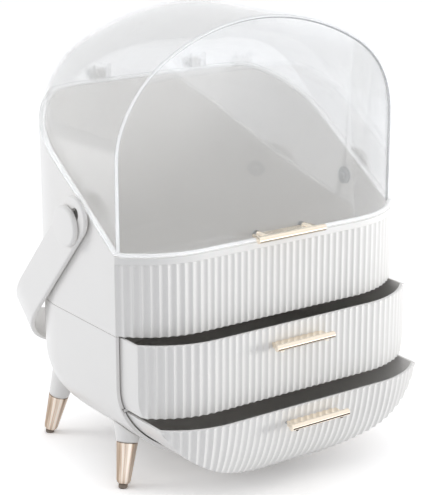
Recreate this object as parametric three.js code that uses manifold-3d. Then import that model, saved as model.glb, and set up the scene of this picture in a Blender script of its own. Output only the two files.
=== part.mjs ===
// Dustproof makeup organizer: an egg-shaped box with two ribbed drawers, an open bin above them
// under a hinged clear dome, a strap handle that swings on two knobs, and four splayed legs.
// Millimetres. +X is to the right, +Y to the back, +Z up, and the feet stand on z = 0.

import * as THREE from 'three';
import { mergeVertices } from 'three/addons/utils/BufferGeometryUtils.js';
import Module from 'manifold-3d';

const wasm = await Module();
wasm.setup();

// Shell of the box
const width = 260; // over the two side walls
const sideDepth = 154; // a side wall, from its front edge to the back face
const wall = 3;
const backCornerRadius = 68; // upright corners at the back, seen from above
const bellyClearance = 11; // floor to the lowest point of the belly
const eggDepth = 80; // from there up to the egg's widest level
const eggHeight = 40; // straight part of the housing's wall, up to the bin
const eggBackRise = 32; // how much shallower the belly is at the back

// Bowed front, seen from above
const frontCornerRun = 59; // how far each front corner reaches in from the side wall
const frontCornerRadius = 76;
const bellyRun = 30; // how far the drawer front runs back under the belly
const ribCount = 45; // hollow flutes with sharp ridges between them
const ribPitch = 5.94; // on the straight part of the front
const ribDepth = 1.5;

// Bin
const frontPanelHeight = 60;
const plainBand = 5; // smooth band over the ribs
const rimSlope = 0.65; // rise of the side rim for each unit of depth
const rimTopHeight = 153; // back rim over the seam
const rimCornerRadius = 9; // where the front rim turns up the slope
const seamTongue = 1.2; // tongue on the housing's edge that enters the bin's groove
const seamTongueWall = 1.1;

// Clear dome
const domeInset = 3; // dome wall inside the bin's outline
const domeWall = 2.2;
const domeFlange = 2.4;
const domeTop = 220.4; // top of the dome over the seam
const domeTopRadius = 172;
const domeShoulderRadius = 80;
const domeRearRadius = 55;

// Lid hinges
const hingePlace = 46; // from the middle to each hinge
const hingeBack = 5; // pin axis behind the back face
const hingeRise = 6; // pin axis over the back rim
const hingePin = 3; // diameter
const hingeEye = 8.4; // diameter of the eyes round the pin
const hingeTongue = 11.6; // width of the bin's tongue
const hingeEar = 2; // thickness of a dome ear
const hingeTongueDrop = 16; // how far the tongue runs down the wall

// Strap handle
const strapWidth = 32;
const strapThickness = 4;
const strapSideGap = 1.3; // strap to side wall
const strapLength = 165; // pivot to the middle of the cross strap
const strapBend = 69; // radius of the strap's corners, at its middle
const strapEnd = 26; // pivot to the end of each arm
const pivotDepth = 55; // pivot behind the front edge of the side wall
const pivotRise = 71.6; // pivot over the seam
const slotTravel = 15; // how far the strap can slide on its pivots
const knobDiameter = 31;
const knobThickness = 4.5;
const pivotDiameter = 8;
const washerDiameter = 14;
const washerThickness = 1.5;

// Drawers
const drawerWall = 2.2;
const drawerDepth = 129; // back of a closed drawer behind the side wall's front edge
const drawerGap = 0.6; // drawer to housing
const middleBottom = 57; // underside of the middle drawer, below the seam
const middlePull = 18; // how far the middle drawer stands open
const bottomPull = 36.7; // how far the bottom drawer stands open
const drawerTopGap = 1.3; // under the bin
const shelfThickness = 2.2;
const shelfGroove = 1.2; // depth of the grooves that hold the shelf

// Bar pulls
const lidPullLength = 61.5;
const drawerPullLength = 54;
const pullBar = 5.3; // diameter
const pullReach = 9.6; // bar axis in front of the ribs
const pullPlate = 2; // thickness of the ledge between the bar and the front
const pullLedgeInset = 4; // ledge shorter than the bar at each end
const pullPost = 5; // diameter
const pullPostPlace = 21; // post from the middle
const drawerPostDrop = 1.5; // axis of a drawer pull's posts below the bar's axis
const middlePullDrop = 12.6; // bar axis below the top of the middle drawer
const bottomPullDrop = 9.5;
const lidPullRise = 4.6; // bar axis over the front rim

// Legs
const legTopWide = 21;
const ferruleTop = 16.6;
const ferruleBottom = 9.6;
const ferruleHeight = 32;
const padDiameter = 8;
const padHeight = 3;
const padStem = 4;
const padStemLength = 5;
const legFrontInset = 27; // root of a front leg in from the side wall
const legFrontDepth = 28.5; // and behind the wall's front edge
const legBackInset = 34.5;
const legBackDepth = 19; // root of a back leg in front of the back face
const legSplay = 10; // how far a foot stands out sideways from its root
const legFrontSplay = 7; // and to the front
const legBackSplay = 12; // or to the back

// Screws
const screwShank = 2.8;
const screwHead = 5.6;
const screwHeadHeight = 2;
const screwGrip = 6; // shank held in the piece that it fixes
const screwSink = 0.2; // countersunk head below the surface

// Clearances
const fit = 0.3; // between pieces that touch
const overrun = 60; // how far cutting solids run past what they cut

const half = width / 2;
const belly = bellyClearance + eggDepth; // height of the egg's widest level
const seamHeight = belly + eggHeight; // where the bin stands on the drawer housing
const frontFlatHalf = half - frontCornerRun; // half of the front's straight middle part
const bow = frontCornerRadius - Math.sqrt(frontCornerRadius ** 2 - frontCornerRun ** 2);
const frontEndAngle = Math.asin(frontCornerRun / frontCornerRadius);
const ribsInFlat = frontFlatHalf / ribPitch;
const cornerPitch = frontCornerRadius * frontEndAngle / (ribCount / 2 - ribsInFlat);
const rimFront = seamHeight + frontPanelHeight;
const rimTop = seamHeight + rimTopHeight;
const hingeY = sideDepth + hingeBack;
const hingeZ = rimTop + hingeRise;
const pivotZ = seamHeight + pivotRise;
const strapInner = half + strapSideGap;
const strapOuter = strapInner + strapThickness;

// The strap hangs behind the box until the lower edge of its cross part meets the back face
const strapReach = strapLength - strapThickness / 2;
const down = Math.acos((sideDepth + fit - pivotDepth) / Math.hypot(strapReach, strapWidth / 2))
  - Math.atan2(strapWidth / 2, strapReach);

// Smoothness of the round parts
const cornerSteps = 7;
const eggSteps = 22;
const roundSteps = 20;
const ribSteps = 4;

const white = { color: 0xf1f1ef, roughness: 0.38, metalness: 0 };
const clear = { color: 0xf6f8f8, roughness: 0.06, metalness: 0, transparent: true, opacity: 0.3 };
const gold = { color: 0xf1dfb6, roughness: 0.2, metalness: 1 };
const roseGold = { color: 0xd6bfa6, roughness: 0.24, metalness: 1 };
const steel = { color: 0xb9bbbd, roughness: 0.35, metalness: 1 };
const rubber = { color: 0xa79a8c, roughness: 0.8, metalness: 0 };

// Solids from three.js geometry

function solidOf(geometry) {
  geometry.deleteAttribute('normal');
  geometry.deleteAttribute('uv');
  const merged = mergeVertices(geometry);
  const vertProperties = new Float32Array(merged.attributes.position.array);
  const kept = [];
  for (let i = 0; i < merged.index.count; i += 3) {
    const [a, b, c] = merged.index.array.slice(i, i + 3);
    if (a !== b && b !== c && c !== a) kept.push(a, b, c); // a turned piece closes on its axis
  }
  const triVerts = new Uint32Array(kept);
  return new wasm.Manifold(new wasm.Mesh({ numProp: 3, vertProperties, triVerts }));
}

function geometryOf(solid) {
  const mesh = solid.getMesh();
  const geometry = new THREE.BufferGeometry();
  geometry.setAttribute('position', new THREE.BufferAttribute(mesh.vertProperties, 3));
  geometry.setIndex(new THREE.BufferAttribute(mesh.triVerts, 1));
  return geometry;
}

function place(geometry, xAxis, yAxis, zAxis, origin = new THREE.Vector3()) {
  const matrix = new THREE.Matrix4().makeBasis(xAxis, yAxis, zAxis).setPosition(origin);
  return solidOf(geometry.applyMatrix4(matrix));
}

const X = new THREE.Vector3(1, 0, 0);
const Y = new THREE.Vector3(0, 1, 0);
const Z = new THREE.Vector3(0, 0, 1);

function extrude(shape, depth, steps = cornerSteps) {
  return new THREE.ExtrudeGeometry(shape, { depth, bevelEnabled: false, curveSegments: steps });
}

// A plan outline pulled up, and a side outline pulled across
const upright = (shape, low, high) =>
  place(extrude(shape, high - low), X, Y, Z, new THREE.Vector3(0, 0, low));
const across = (shape, left, right, steps) =>
  place(extrude(shape, right - left, steps), Y, Z, X, new THREE.Vector3(left, 0, 0));

function outline(points) {
  return new THREE.Shape(points.map(([u, v]) => new THREE.Vector2(u, v)));
}

function rectangle(u0, v0, u1, v1) {
  return outline([[u0, v0], [u1, v0], [u1, v1], [u0, v1]]);
}

// Skins a stack of closed rings that all have the same number of points
function loft(rings, flat) {
  const count = rings[0].length;
  const position = rings.flat().flatMap((p) => [p.x, p.y, p.z]);
  const index = [];
  for (let r = 0; r + 1 < rings.length; r++) {
    for (let i = 0; i < count; i++) {
      const a = r * count + i;
      const b = r * count + (i + 1) % count;
      index.push(a, b, b + count, a, b + count, a + count);
    }
  }
  const ends = [[rings[0], 0, true], [rings[rings.length - 1], (rings.length - 1) * count, false]];
  for (const [ring, first, turned] of ends) {
    const contour = ring.map(flat);
    for (const [a, b, c] of THREE.ShapeUtils.triangulateShape(contour, [])) {
      index.push(...(turned ? [a, c, b] : [a, b, c]).map((i) => i + first));
    }
  }
  const geometry = new THREE.BufferGeometry();
  geometry.setAttribute('position', new THREE.Float32BufferAttribute(position, 3));
  geometry.setIndex(index);
  return solidOf(geometry);
}

// A turned piece whose axis runs from a point along a direction; the profile is [radius, along]
function turned(profile, origin, axis, steps = roundSteps) {
  const geometry = new THREE.LatheGeometry(profile.map(([r, a]) => new THREE.Vector2(r, a)), steps);
  const turn = new THREE.Quaternion().setFromUnitVectors(Y, axis);
  return solidOf(geometry.applyQuaternion(turn).translate(origin.x, origin.y, origin.z));
}

function rod(radius, from, to, steps) {
  const axis = to.clone().sub(from);
  const length = axis.length();
  return turned([[0, 0], [radius, 0], [radius, length], [0, length]], from, axis.normalize(), steps);
}

const point = (x, y, z) => new THREE.Vector3(x, y, z);

const group = new THREE.Group();

function piece(name, solid, look) {
  const mesh = new THREE.Mesh(geometryOf(solid), new THREE.MeshStandardMaterial(look));
  mesh.name = name;
  group.add(mesh);
}

// Outlines that the pieces share

// The bowed front, from left to right, moved in by an inset; hollow flutes are cut into it
function frontCurve(inset, ribs, endAngle) {
  const marks = [];
  if (ribs) {
    const last = Math.round((ribsInFlat + frontCornerRadius * endAngle / cornerPitch) * ribSteps);
    for (let i = -last; i <= last; i++) {
      const count = Math.abs(i) / ribSteps;
      const rounded = Math.max(0, count - ribsInFlat);
      const s = (count - rounded) * ribPitch + rounded * cornerPitch;
      marks.push([Math.sign(i) * s, ribDepth * Math.abs(Math.cos(Math.PI * count))]);
    }
  } else {
    const bend = frontCornerRadius * endAngle / cornerSteps;
    for (let i = cornerSteps; i >= 0; i--) marks.push([-frontFlatHalf - i * bend, 0]);
    for (let i = 0; i <= cornerSteps; i++) marks.push([frontFlatHalf + i * bend, 0]);
  }
  return marks.map(([s, valley]) => {
    const turn = Math.max(0, Math.abs(s) - frontFlatHalf) / frontCornerRadius;
    const radius = frontCornerRadius - inset - valley;
    const x = Math.sign(s) * (Math.min(Math.abs(s), frontFlatHalf) + radius * Math.sin(turn));
    return [x, frontCornerRadius - bow - radius * Math.cos(turn)];
  });
}

// The two sides and the round back corners, from the right front to the left front
function backCurve(inset) {
  const radius = backCornerRadius - inset;
  const points = [];
  for (let i = 0; i <= cornerSteps; i++) {
    const turn = i / cornerSteps * Math.PI / 2;
    points.push([half - backCornerRadius + radius * Math.cos(turn),
      sideDepth - backCornerRadius + radius * Math.sin(turn)]);
  }
  return [...points, ...points.map(([x, y]) => [-x, y]).reverse()];
}

// The whole box seen from above
function plan(inset, ribs = false) {
  const endAngle = Math.asin((half - inset - frontFlatHalf) / (frontCornerRadius - inset));
  const front = frontCurve(inset, ribs, ribs ? frontEndAngle : endAngle);
  return outline([...front, ...backCurve(inset)]);
}

// Half width and depth of the egg where its upright corner has turned by an angle
function eggWall(turn, inset) {
  const radius = backCornerRadius - inset;
  return {
    y: sideDepth - backCornerRadius + radius * Math.sin(turn),
    halfWidth: half - backCornerRadius + radius * Math.cos(turn),
    low: eggDepth - inset - eggBackRise * (1 - Math.cos(turn)),
  };
}

// The egg-shaped trough of the housing and the drawers: front outlines set one behind the other
function egg(inset, front, top) {
  const ring = (y, halfWidth, depth) => {
    const points = [point(-halfWidth, y, top)];
    for (let i = 0; i <= eggSteps; i++) {
      const turn = Math.PI * i / eggSteps;
      points.push(point(-halfWidth * Math.cos(turn), y, belly - depth * Math.sin(turn)));
    }
    return [...points, point(halfWidth, y, top)];
  };
  const rings = [];
  for (let i = cornerSteps; i >= 0; i--) {
    const { y, halfWidth, low } = eggWall(i / cornerSteps * Math.PI / 2, inset);
    rings.push(ring(y, halfWidth, low));
  }
  rings.push(ring(front, half - inset, eggDepth - inset));
  return loft(rings, (p) => new THREE.Vector2(p.x, p.z));
}

// How far the drawer front has run back at a height
function recess(z) {
  const fall = Math.min(1, Math.max(0, belly - z) / (eggDepth - drawerInset));
  return bellyRun * (1 - Math.sqrt(1 - fall ** 2));
}

// Everything behind the bowed drawer front, which runs back under the belly; levels rise
function behindFront(levels, inset, ribs) {
  const endAngle = (frontEndAngle + Math.PI / 2) / 2;
  const rings = levels.map((z) => {
    const front = frontCurve(inset + recess(z), ribs, endAngle).map(([x, y]) => point(x, y, z));
    const side = front[front.length - 1].x;
    return [...front, point(side, sideDepth, z), point(-side, sideDepth, z)];
  });
  return loft(rings, (p) => new THREE.Vector2(p.x, p.y));
}

// The side line of the rim: level in front, up the slope, level along the back
function rimLine(rise) {
  const slope = Math.atan(rimSlope);
  const setback = rimCornerRadius * Math.tan(slope / 2);
  const top = (rimTopHeight - frontPanelHeight) / rimSlope;
  const bend = [];
  for (let i = 0; i <= cornerSteps; i++) {
    const turn = slope * i / cornerSteps;
    bend.push([-setback + rimCornerRadius * Math.sin(turn),
      rimFront + rise + rimCornerRadius * (1 - Math.cos(turn))]);
  }
  return [[-overrun, rimFront + rise], ...bend, [top, rimTop + rise], [sideDepth + overrun, rimTop + rise]];
}

function overRim(rise) {
  const high = rimTop + overrun + domeTop;
  return across(outline([...rimLine(rise), [sideDepth + overrun, high], [-overrun, high]]),
    -half - overrun, half + overrun);
}

// Screws

function screw(head, tip) {
  const axis = tip.clone().sub(head).normalize();
  const length = tip.distanceTo(head);
  const dome = screwHeadHeight / 2;
  return turned([[0, -screwHeadHeight], [screwHead / 4, -screwHeadHeight], [screwHead / 2, -dome],
    [screwHead / 2, 0], [screwShank / 2, 0], [screwShank / 2, length], [0, length]], head, axis, 12);
}

const screwHole = (from, to) => rod(screwShank / 2 + fit, from, to, 12);

// Legs: a white cone shaped to the belly, a metal ferrule on its spigot, and a small pad.
// A countersunk screw, square to the belly's wall, holds each leg from the inside.

const footHeight = padHeight + ferruleHeight;
const spigot = ferruleTop / 2 - wall / 2;
const bellyOutside = egg(-fit, -overrun, seamHeight);
const legPlaces = [
  ['front_left', legFrontInset - half, legFrontDepth, -legFrontSplay],
  ['front_right', half - legFrontInset, legFrontDepth, -legFrontSplay],
  ['back_left', legBackInset - half, sideDepth - legBackDepth, legBackSplay],
  ['back_right', half - legBackInset, sideDepth - legBackDepth, legBackSplay],
];
const legScrews = [];

for (const [name, x, depth, splay] of legPlaces) {
  const turn = Math.asin(Math.max(0, depth - sideDepth + backCornerRadius) / backCornerRadius);
  const { halfWidth, low } = eggWall(turn, 0);
  const fall = low * Math.sqrt(1 - (x / halfWidth) ** 2);
  const root = point(x, depth, belly - fall);
  const narrowing = x ** 2 / halfWidth ** 3
    + fall ** 2 / low ** 3 * eggBackRise / backCornerRadius;
  const outward = point(x / halfWidth ** 2, narrowing * Math.tan(turn), -fall / low ** 2).normalize();

  const foot = point(x + Math.sign(x) * legSplay, depth + splay, 0);
  const axis = root.clone().sub(foot).normalize();
  const along = (distance) => foot.clone().addScaledVector(axis, distance);
  const rootLength = root.distanceTo(foot) - footHeight;
  const wide = legTopWide / 2;
  const cone = turned([[0, -wall], [spigot - fit, -wall], [spigot - fit, fit], [ferruleTop / 2, fit],
    [wide, rootLength], [wide, rootLength + wide * 0.6], [wide * 0.8, rootLength + wide * 1.1],
    [wide * 0.4, rootLength + wide * 1.5], [0, rootLength + wide * 1.6]], along(footHeight), axis);
  const tip = root.clone().addScaledVector(outward, screwGrip);
  const seat = root.clone().addScaledVector(outward, screwHeadHeight + screwSink - wall);
  const way = tip.clone().addScaledVector(outward, fit);
  const sunk = rod(screwHead / 2 + fit, root.clone().addScaledVector(outward, -wall * 2), seat, 12);
  legScrews.push({ name, seat, tip, hole: screwHole(seat, way).add(sunk) });
  piece(`leg_${name}`, cone.subtract(bellyOutside).subtract(screwHole(seat, way)), white);

  const shell = [[0, 0], [padDiameter / 2, 0], [ferruleBottom / 2, wall / 2],
    [ferruleTop / 2, ferruleHeight], [spigot, ferruleHeight], [spigot, ferruleHeight - wall - fit],
    [0, ferruleHeight - wall - fit]];
  piece(`ferrule_${name}`, turned(shell, along(padHeight), axis)
    .subtract(rod(padStem / 2 + fit, along(0), along(padHeight + padStemLength + fit), 12)), roseGold);

  const pad = turned([[0, -wall], [padDiameter / 2, -wall], [padDiameter / 2, padHeight - fit],
    [padStem / 2, padHeight - fit], [padStem / 2, padHeight + padStemLength],
    [0, padHeight + padStemLength]], foot, axis, 16);
  const floor = upright(rectangle(-half - overrun, -overrun, half + overrun, sideDepth + overrun),
    -overrun, 0);
  piece(`foot_pad_${name}`, pad.subtract(floor), rubber);
}

// Drawer housing: an egg-shaped trough, open in front and on top, with grooves for the shelf

const seam = seamHeight - fit;
const drawerInset = wall + drawerGap;
const frontFace = upright(rectangle(-half - overrun, -overrun, half + overrun, 0), 0, seamHeight * 2);
const shelfTop = seamHeight - middleBottom - drawerGap;
const shelfLow = shelfTop - shelfThickness;
const wide = rectangle(-half - overrun, -overrun, half + overrun, sideDepth + overrun);

const tongue = upright(plan(wall / 2 - seamTongueWall / 2), seam - wall, seam + seamTongue)
  .subtract(upright(plan(wall / 2 + seamTongueWall / 2), seam - wall * 2, seam + wall));
const groove = egg(wall - shelfGroove, -overrun, seam)
  .intersect(upright(wide, shelfLow - fit, shelfTop + fit));

let housing = egg(0, 0, seam).subtract(egg(wall, -overrun, seam + overrun))
  .add(tongue.subtract(frontFace))
  .subtract(groove);

const lugWidth = screwHead * 2;
const lugPlaces = [-hingePlace, hingePlace];
const lugBox = (x) => upright(rectangle(x - lugWidth / 2, sideDepth - wall * 2 - screwHead,
  x + lugWidth / 2, sideDepth - wall / 2), seam - wall, seam);
const lugScrewY = sideDepth - wall - screwHead;
for (const x of lugPlaces) {
  housing = housing.add(lugBox(x))
    .subtract(screwHole(point(x, lugScrewY, seam - wall * 2), point(x, lugScrewY, seam + wall)));
}
for (const { hole } of legScrews) housing = housing.subtract(hole);
piece('lower_housing', housing, white);
for (const { name, seat, tip } of legScrews) piece(`leg_screw_${name}`, screw(seat, tip), steel);

const shelf = egg(wall - shelfGroove + fit, fit, seam).intersect(upright(wide, shelfLow, shelfTop));
piece('drawer_shelf', shelf, white);

// Bin: ribbed bow front, straight sides with a sloping rim, and a tall round back

const binFloor = seamHeight + wall;
const inner = upright(plan(wall + ribDepth), binFloor, rimTop + overrun);
let bin = upright(plan(0, true), seamHeight, rimFront - plainBand)
  .add(upright(plan(0), rimFront - plainBand, rimTop))
  .subtract(upright(plan(wall), rimFront - plainBand, rimTop + overrun))
  .subtract(inner)
  .subtract(overRim(0));

const grooveOver = upright(plan(wall / 2 - seamTongueWall / 2 - fit), seamHeight - overrun,
  seamHeight + seamTongue)
  .subtract(upright(plan(wall / 2 + seamTongueWall / 2 + fit), seamHeight - overrun * 2,
    seamHeight + overrun));
bin = bin.subtract(grooveOver.subtract(frontFace));

const eye = hingeEye / 2;
const hingeEyeShape = (from, to) => rod(eye, point(from, hingeY, hingeZ), point(to, hingeY, hingeZ));
const pinHole = rod(hingePin / 2 + fit, point(-half, hingeY, hingeZ), point(half, hingeY, hingeZ), 12);
const tongueSide = outline([[sideDepth - wall / 2, rimTop - hingeTongueDrop],
  [sideDepth, rimTop - hingeTongueDrop], [hingeY + eye, hingeZ - eye], [hingeY + eye, hingeZ],
  [hingeY, hingeZ], [sideDepth, rimTop - wall], [sideDepth - wall / 2, rimTop - wall]]);

for (const side of [-1, 1]) {
  const low = side * hingePlace - hingeTongue / 2;
  bin = bin.add(across(tongueSide, low, low + hingeTongue)).add(hingeEyeShape(low, low + hingeTongue));
  bin = bin.subtract(rod(pivotDiameter / 2 + fit, point(side * (half - wall * 2), pivotDepth, pivotZ),
    point(side * (half + wall), pivotDepth, pivotZ)));
}
for (const x of lugPlaces) {
  const boss = rod(screwHead / 2 + wall / 2, point(x, lugScrewY, binFloor - wall / 2),
    point(x, lugScrewY, seam + screwGrip + wall));
  bin = bin.add(boss)
    .subtract(screwHole(point(x, lugScrewY, seam - wall), point(x, lugScrewY, seam + screwGrip + fit)));
}
piece('upper_bin', bin.subtract(pinHole), white);

for (const [name, x] of [['left', lugPlaces[0]], ['right', lugPlaces[1]]]) {
  piece(`bin_screw_${name}`, screw(point(x, lugScrewY, seam - wall - fit),
    point(x, lugScrewY, seam + screwGrip)), steel);
}

for (const [name, side] of [['left', -1], ['right', 1]]) {
  const reach = hingeTongue / 2 + fit + hingeEar;
  piece(`hinge_pin_${name}`, rod(hingePin / 2, point(side * hingePlace - reach, hingeY, hingeZ),
    point(side * hingePlace + reach, hingeY, hingeZ)), steel);
}

// Drawers: one moulding each, with the ribbed bow front, a floor and thin walls

function drawer(name, low, high, levels, pull, pullDrop) {
  const open = point(0, -pull, 0);
  const bounds = upright(wide, low, high);
  const back = upright(rectangle(-half, drawerDepth, half, sideDepth + overrun), 0, seamHeight * 2);
  const backInside = upright(rectangle(-half, drawerDepth - drawerWall, half, sideDepth + overrun),
    0, seamHeight * 2);
  const outside = egg(drawerInset, -overrun, seamHeight + overrun)
    .intersect(behindFront(levels, 0, true)).intersect(bounds).subtract(back);
  const hollow = egg(drawerInset + drawerWall, -overrun, seamHeight + overrun)
    .intersect(behindFront(levels, ribDepth + drawerWall, false)).subtract(backInside)
    .intersect(upright(wide, low + drawerWall, high + overrun));
  const pullHeight = high - pullDrop;
  const screwHeight = pullHeight - drawerPostDrop;
  let tub = outside.subtract(hollow);
  const face = -bow;
  for (const side of [-1, 1]) {
    tub = tub.subtract(screwHole(point(side * pullPostPlace, face - wall, screwHeight),
      point(side * pullPostPlace, face + wall * 3, screwHeight)));
  }
  piece(`${name}_drawer`, tub.translate(open.toArray()), white);
  pullSet(`${name}_pull`, drawerPullLength, pullHeight, screwHeight, open,
    behindFront(levels, -fit, true),
    face + recess(screwHeight - screwHead / 2) + ribDepth + drawerWall + fit);
}

// Bar pull: a round bar on a thin ledge whose back edge is cut to the ribs, and two posts that
// the screws hold
function pullSet(name, length, height, screwHeight, open, panel, inside) {
  const face = -bow;
  const axisY = face - pullReach;
  const bar = rod(pullBar / 2, point(-length / 2, axisY, height),
    point(length / 2, axisY, height), 16);
  const ledgeHalf = length / 2 - pullLedgeInset;
  const ledge = upright(rectangle(-ledgeHalf, axisY, ledgeHalf, face + wall),
    height - pullPlate / 2, height + pullPlate / 2);
  let pull = bar.add(ledge);
  for (const side of [-1, 1]) {
    const x = side * pullPostPlace;
    pull = pull.add(rod(pullPost / 2, point(x, axisY, screwHeight),
      point(x, face + wall, screwHeight), 12));
  }
  pull = pull.subtract(panel);
  for (const side of [-1, 1]) {
    const x = side * pullPostPlace;
    pull = pull.subtract(screwHole(point(x, face - screwGrip, screwHeight),
      point(x, face + wall, screwHeight)));
    const which = side < 0 ? 'left' : 'right';
    piece(`${name}_screw_${which}`, screw(point(x, inside, screwHeight).add(open),
      point(x, face - screwGrip + fit, screwHeight).add(open)), steel);
  }
  piece(name, pull.translate(open.toArray()), gold);
}

const drawerTop = seamHeight - drawerTopGap;
const middleLow = seamHeight - middleBottom;
const bottomTop = shelfLow - drawerGap;
const bottomLow = belly - eggDepth + drawerInset;
const fallShares = [0.985, 0.945, 0.88, 0.79, 0.68, 0.55, 0.4];
const bottomLevels = [bottomLow - fit,
  ...fallShares.map((share) => belly - share * (eggDepth - drawerInset)), bottomTop + wall];

drawer('middle', middleLow, drawerTop, [middleLow - wall, belly, drawerTop + wall], middlePull,
  middlePullDrop);
drawer('bottom', bottomLow - wall, bottomTop, bottomLevels, bottomPull, bottomPullDrop);

// Clear dome: front outlines of one arch set one behind the other, lower and narrower at the
// back; its front pane leans back from the bow to the arch

// Half of the arch as shares of its half width and of its rise over the straight sides
function archShares(inset) {
  const shoulder = domeShoulderRadius - inset;
  const crown = domeTopRadius - inset;
  const reach = half - domeInset - domeShoulderRadius;
  const lift = Math.sqrt((domeTopRadius - domeShoulderRadius) ** 2 - reach ** 2);
  const lean = Math.atan2(lift, reach);
  const shares = [];
  for (let i = 0; i < cornerSteps; i++) {
    const turn = lean * i / cornerSteps;
    shares.push([(reach + shoulder * Math.cos(turn)) / (reach + shoulder),
      shoulder * Math.sin(turn) / (crown - lift)]);
  }
  for (let i = 0; i <= cornerSteps; i++) {
    const turn = lean + (Math.PI / 2 - lean) * i / cornerSteps;
    shares.push([crown * Math.cos(turn) / (reach + shoulder),
      (crown * Math.sin(turn) - lift) / (crown - lift)]);
  }
  return { shares, spring: seamHeight + domeTop - domeTopRadius + lift };
}

function rimHeight(y) {
  return Math.min(rimTop, rimFront + rimSlope * Math.max(0, y));
}

function dome(inset) {
  const { shares, spring } = archShares(inset);
  const corner = backCornerRadius - domeInset - inset;
  const rear = domeRearRadius - inset;
  const rearY = sideDepth - domeInset - domeRearRadius;
  const ring = (y, halfWidth) => {
    const top = seamHeight + domeTop - domeRearRadius
      + Math.sqrt(Math.max(0, rear ** 2 - Math.max(0, y - rearY) ** 2));
    const start = Math.max(spring, rimHeight(y));
    const right = shares.map(([u, v]) => point(u * halfWidth, y, start + v * (top - start)));
    const left = right.slice(0, -1).map((p) => point(-p.x, p.y, p.z)).reverse();
    return [point(-halfWidth, y, seamHeight), point(halfWidth, y, seamHeight), ...right, ...left];
  };
  const rings = [];
  for (let i = cornerSteps; i >= 0; i--) {
    const turn = i / cornerSteps * Math.PI / 2;
    rings.push(ring(sideDepth - backCornerRadius + corner * Math.sin(turn),
      half - backCornerRadius + corner * Math.cos(turn)));
  }
  rings.push(ring(-overrun, half - domeInset - inset));

  const levels = [seamHeight, seamHeight + domeTop + overrun];
  const pane = levels.map((z) => {
    const lean = 1 - (z - rimFront) / (seamHeight + domeTop - rimFront);
    const front = frontCurve(domeInset + inset, false, (frontEndAngle + Math.PI / 2) / 2)
      .map(([x, y]) => point(x, inset + (y - inset) * lean, z));
    const side = front[front.length - 1].x;
    return [...front, point(side, sideDepth, z), point(-side, sideDepth, z)];
  });
  return loft(rings, (p) => new THREE.Vector2(p.x, p.z))
    .intersect(loft(pane, (p) => new THREE.Vector2(p.x, p.y)));
}

const underFlange = overRim(fit);
const flange = upright(plan(0), seamHeight, rimTop + overrun)
  .subtract(upright(plan(domeInset + domeWall), 0, rimTop + overrun * 2))
  .intersect(underFlange).subtract(overRim(fit + domeFlange));
let lid = dome(0).subtract(dome(domeWall)).intersect(underFlange).add(flange);

const earSide = outline([[sideDepth - domeInset - domeWall / 2, rimTop + fit],
  [sideDepth, rimTop + fit], [hingeY, hingeZ - eye], [hingeY + eye / 2, hingeZ], [hingeY, hingeZ + eye],
  [sideDepth - domeInset - domeWall / 2, hingeZ + eye * 2]]);
for (const side of [-1, 1]) {
  for (const hand of [-1, 1]) {
    const near = side * hingePlace + hand * (hingeTongue / 2 + fit);
    const far = near + hand * hingeEar;
    const low = Math.min(near, far);
    lid = lid.add(across(earSide, low, low + hingeEar)).add(hingeEyeShape(low, low + hingeEar));
  }
}
const lidPullHeight = rimFront + lidPullRise;
const lidFace = -bow + domeInset;
for (const side of [-1, 1]) {
  lid = lid.subtract(screwHole(point(side * pullPostPlace, lidFace - wall, lidPullHeight),
    point(side * pullPostPlace, lidFace + wall * 3, lidPullHeight)));
}
piece('lid_dome', lid.subtract(pinHole), clear);
const paneSpread = dome(-fit).add(upright(plan(-fit), rimFront + fit, rimFront + fit * 2 + domeFlange));
pullSet('lid_pull', lidPullLength, lidPullHeight, lidPullHeight, point(0, 0, 0), paneSpread,
  lidFace + domeWall + fit + bow * lidPullRise / (domeTop - frontPanelHeight));

// Strap handle: a wide flat U whose round ends are slotted over the pivots of the two knobs

function strap() {
  const mid = strapInner + strapThickness / 2;
  const shape = new THREE.Shape();
  const bend = (radius, hand, from, to, clockwise) =>
    shape.absarc(hand * (mid - strapBend), strapLength - strapBend, radius, from, to, clockwise);
  const outside = strapBend + strapThickness / 2;
  const inside = strapBend - strapThickness / 2;
  shape.moveTo(strapOuter, -strapEnd);
  shape.lineTo(strapOuter, strapLength - strapBend);
  bend(outside, 1, 0, Math.PI / 2, false);
  bend(outside, -1, Math.PI / 2, Math.PI, false);
  shape.lineTo(-strapOuter, -strapEnd);
  shape.lineTo(-strapInner, -strapEnd);
  bend(inside, -1, Math.PI, Math.PI / 2, true);
  bend(inside, 1, Math.PI / 2, 0, true);
  shape.lineTo(strapInner, -strapEnd);
  const along = point(0, Math.cos(down), -Math.sin(down));
  const edge = new THREE.Vector3().crossVectors(X, along);
  const middle = point(0, pivotDepth, pivotZ);
  const corner = middle.clone().addScaledVector(edge, -strapWidth / 2);
  const band = place(extrude(shape, strapWidth, roundSteps / 2), X, along, edge, corner);

  // Round ends and the slots, cut straight through both arms
  const ends = new THREE.Shape();
  const radius = strapWidth / 2;
  ends.absarc(0, radius - strapEnd, radius, Math.PI, 2 * Math.PI, false);
  ends.lineTo(radius, strapLength + strapWidth);
  ends.lineTo(-radius, strapLength + strapWidth);
  const slot = new THREE.Shape();
  const play = pivotDiameter / 2 + fit;
  slot.absarc(0, 0, play, 0, Math.PI, false);
  slot.absarc(0, -slotTravel, play, Math.PI, 2 * Math.PI, false);
  const left = middle.clone().addScaledVector(X, -half - overrun);
  const acrossArms = (cut) => place(extrude(cut, width + overrun * 2, roundSteps / 2),
    edge.clone().negate(), along, X, left);
  return band.intersect(acrossArms(ends)).subtract(acrossArms(slot));
}
piece('carry_handle', strap(), white);

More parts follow.
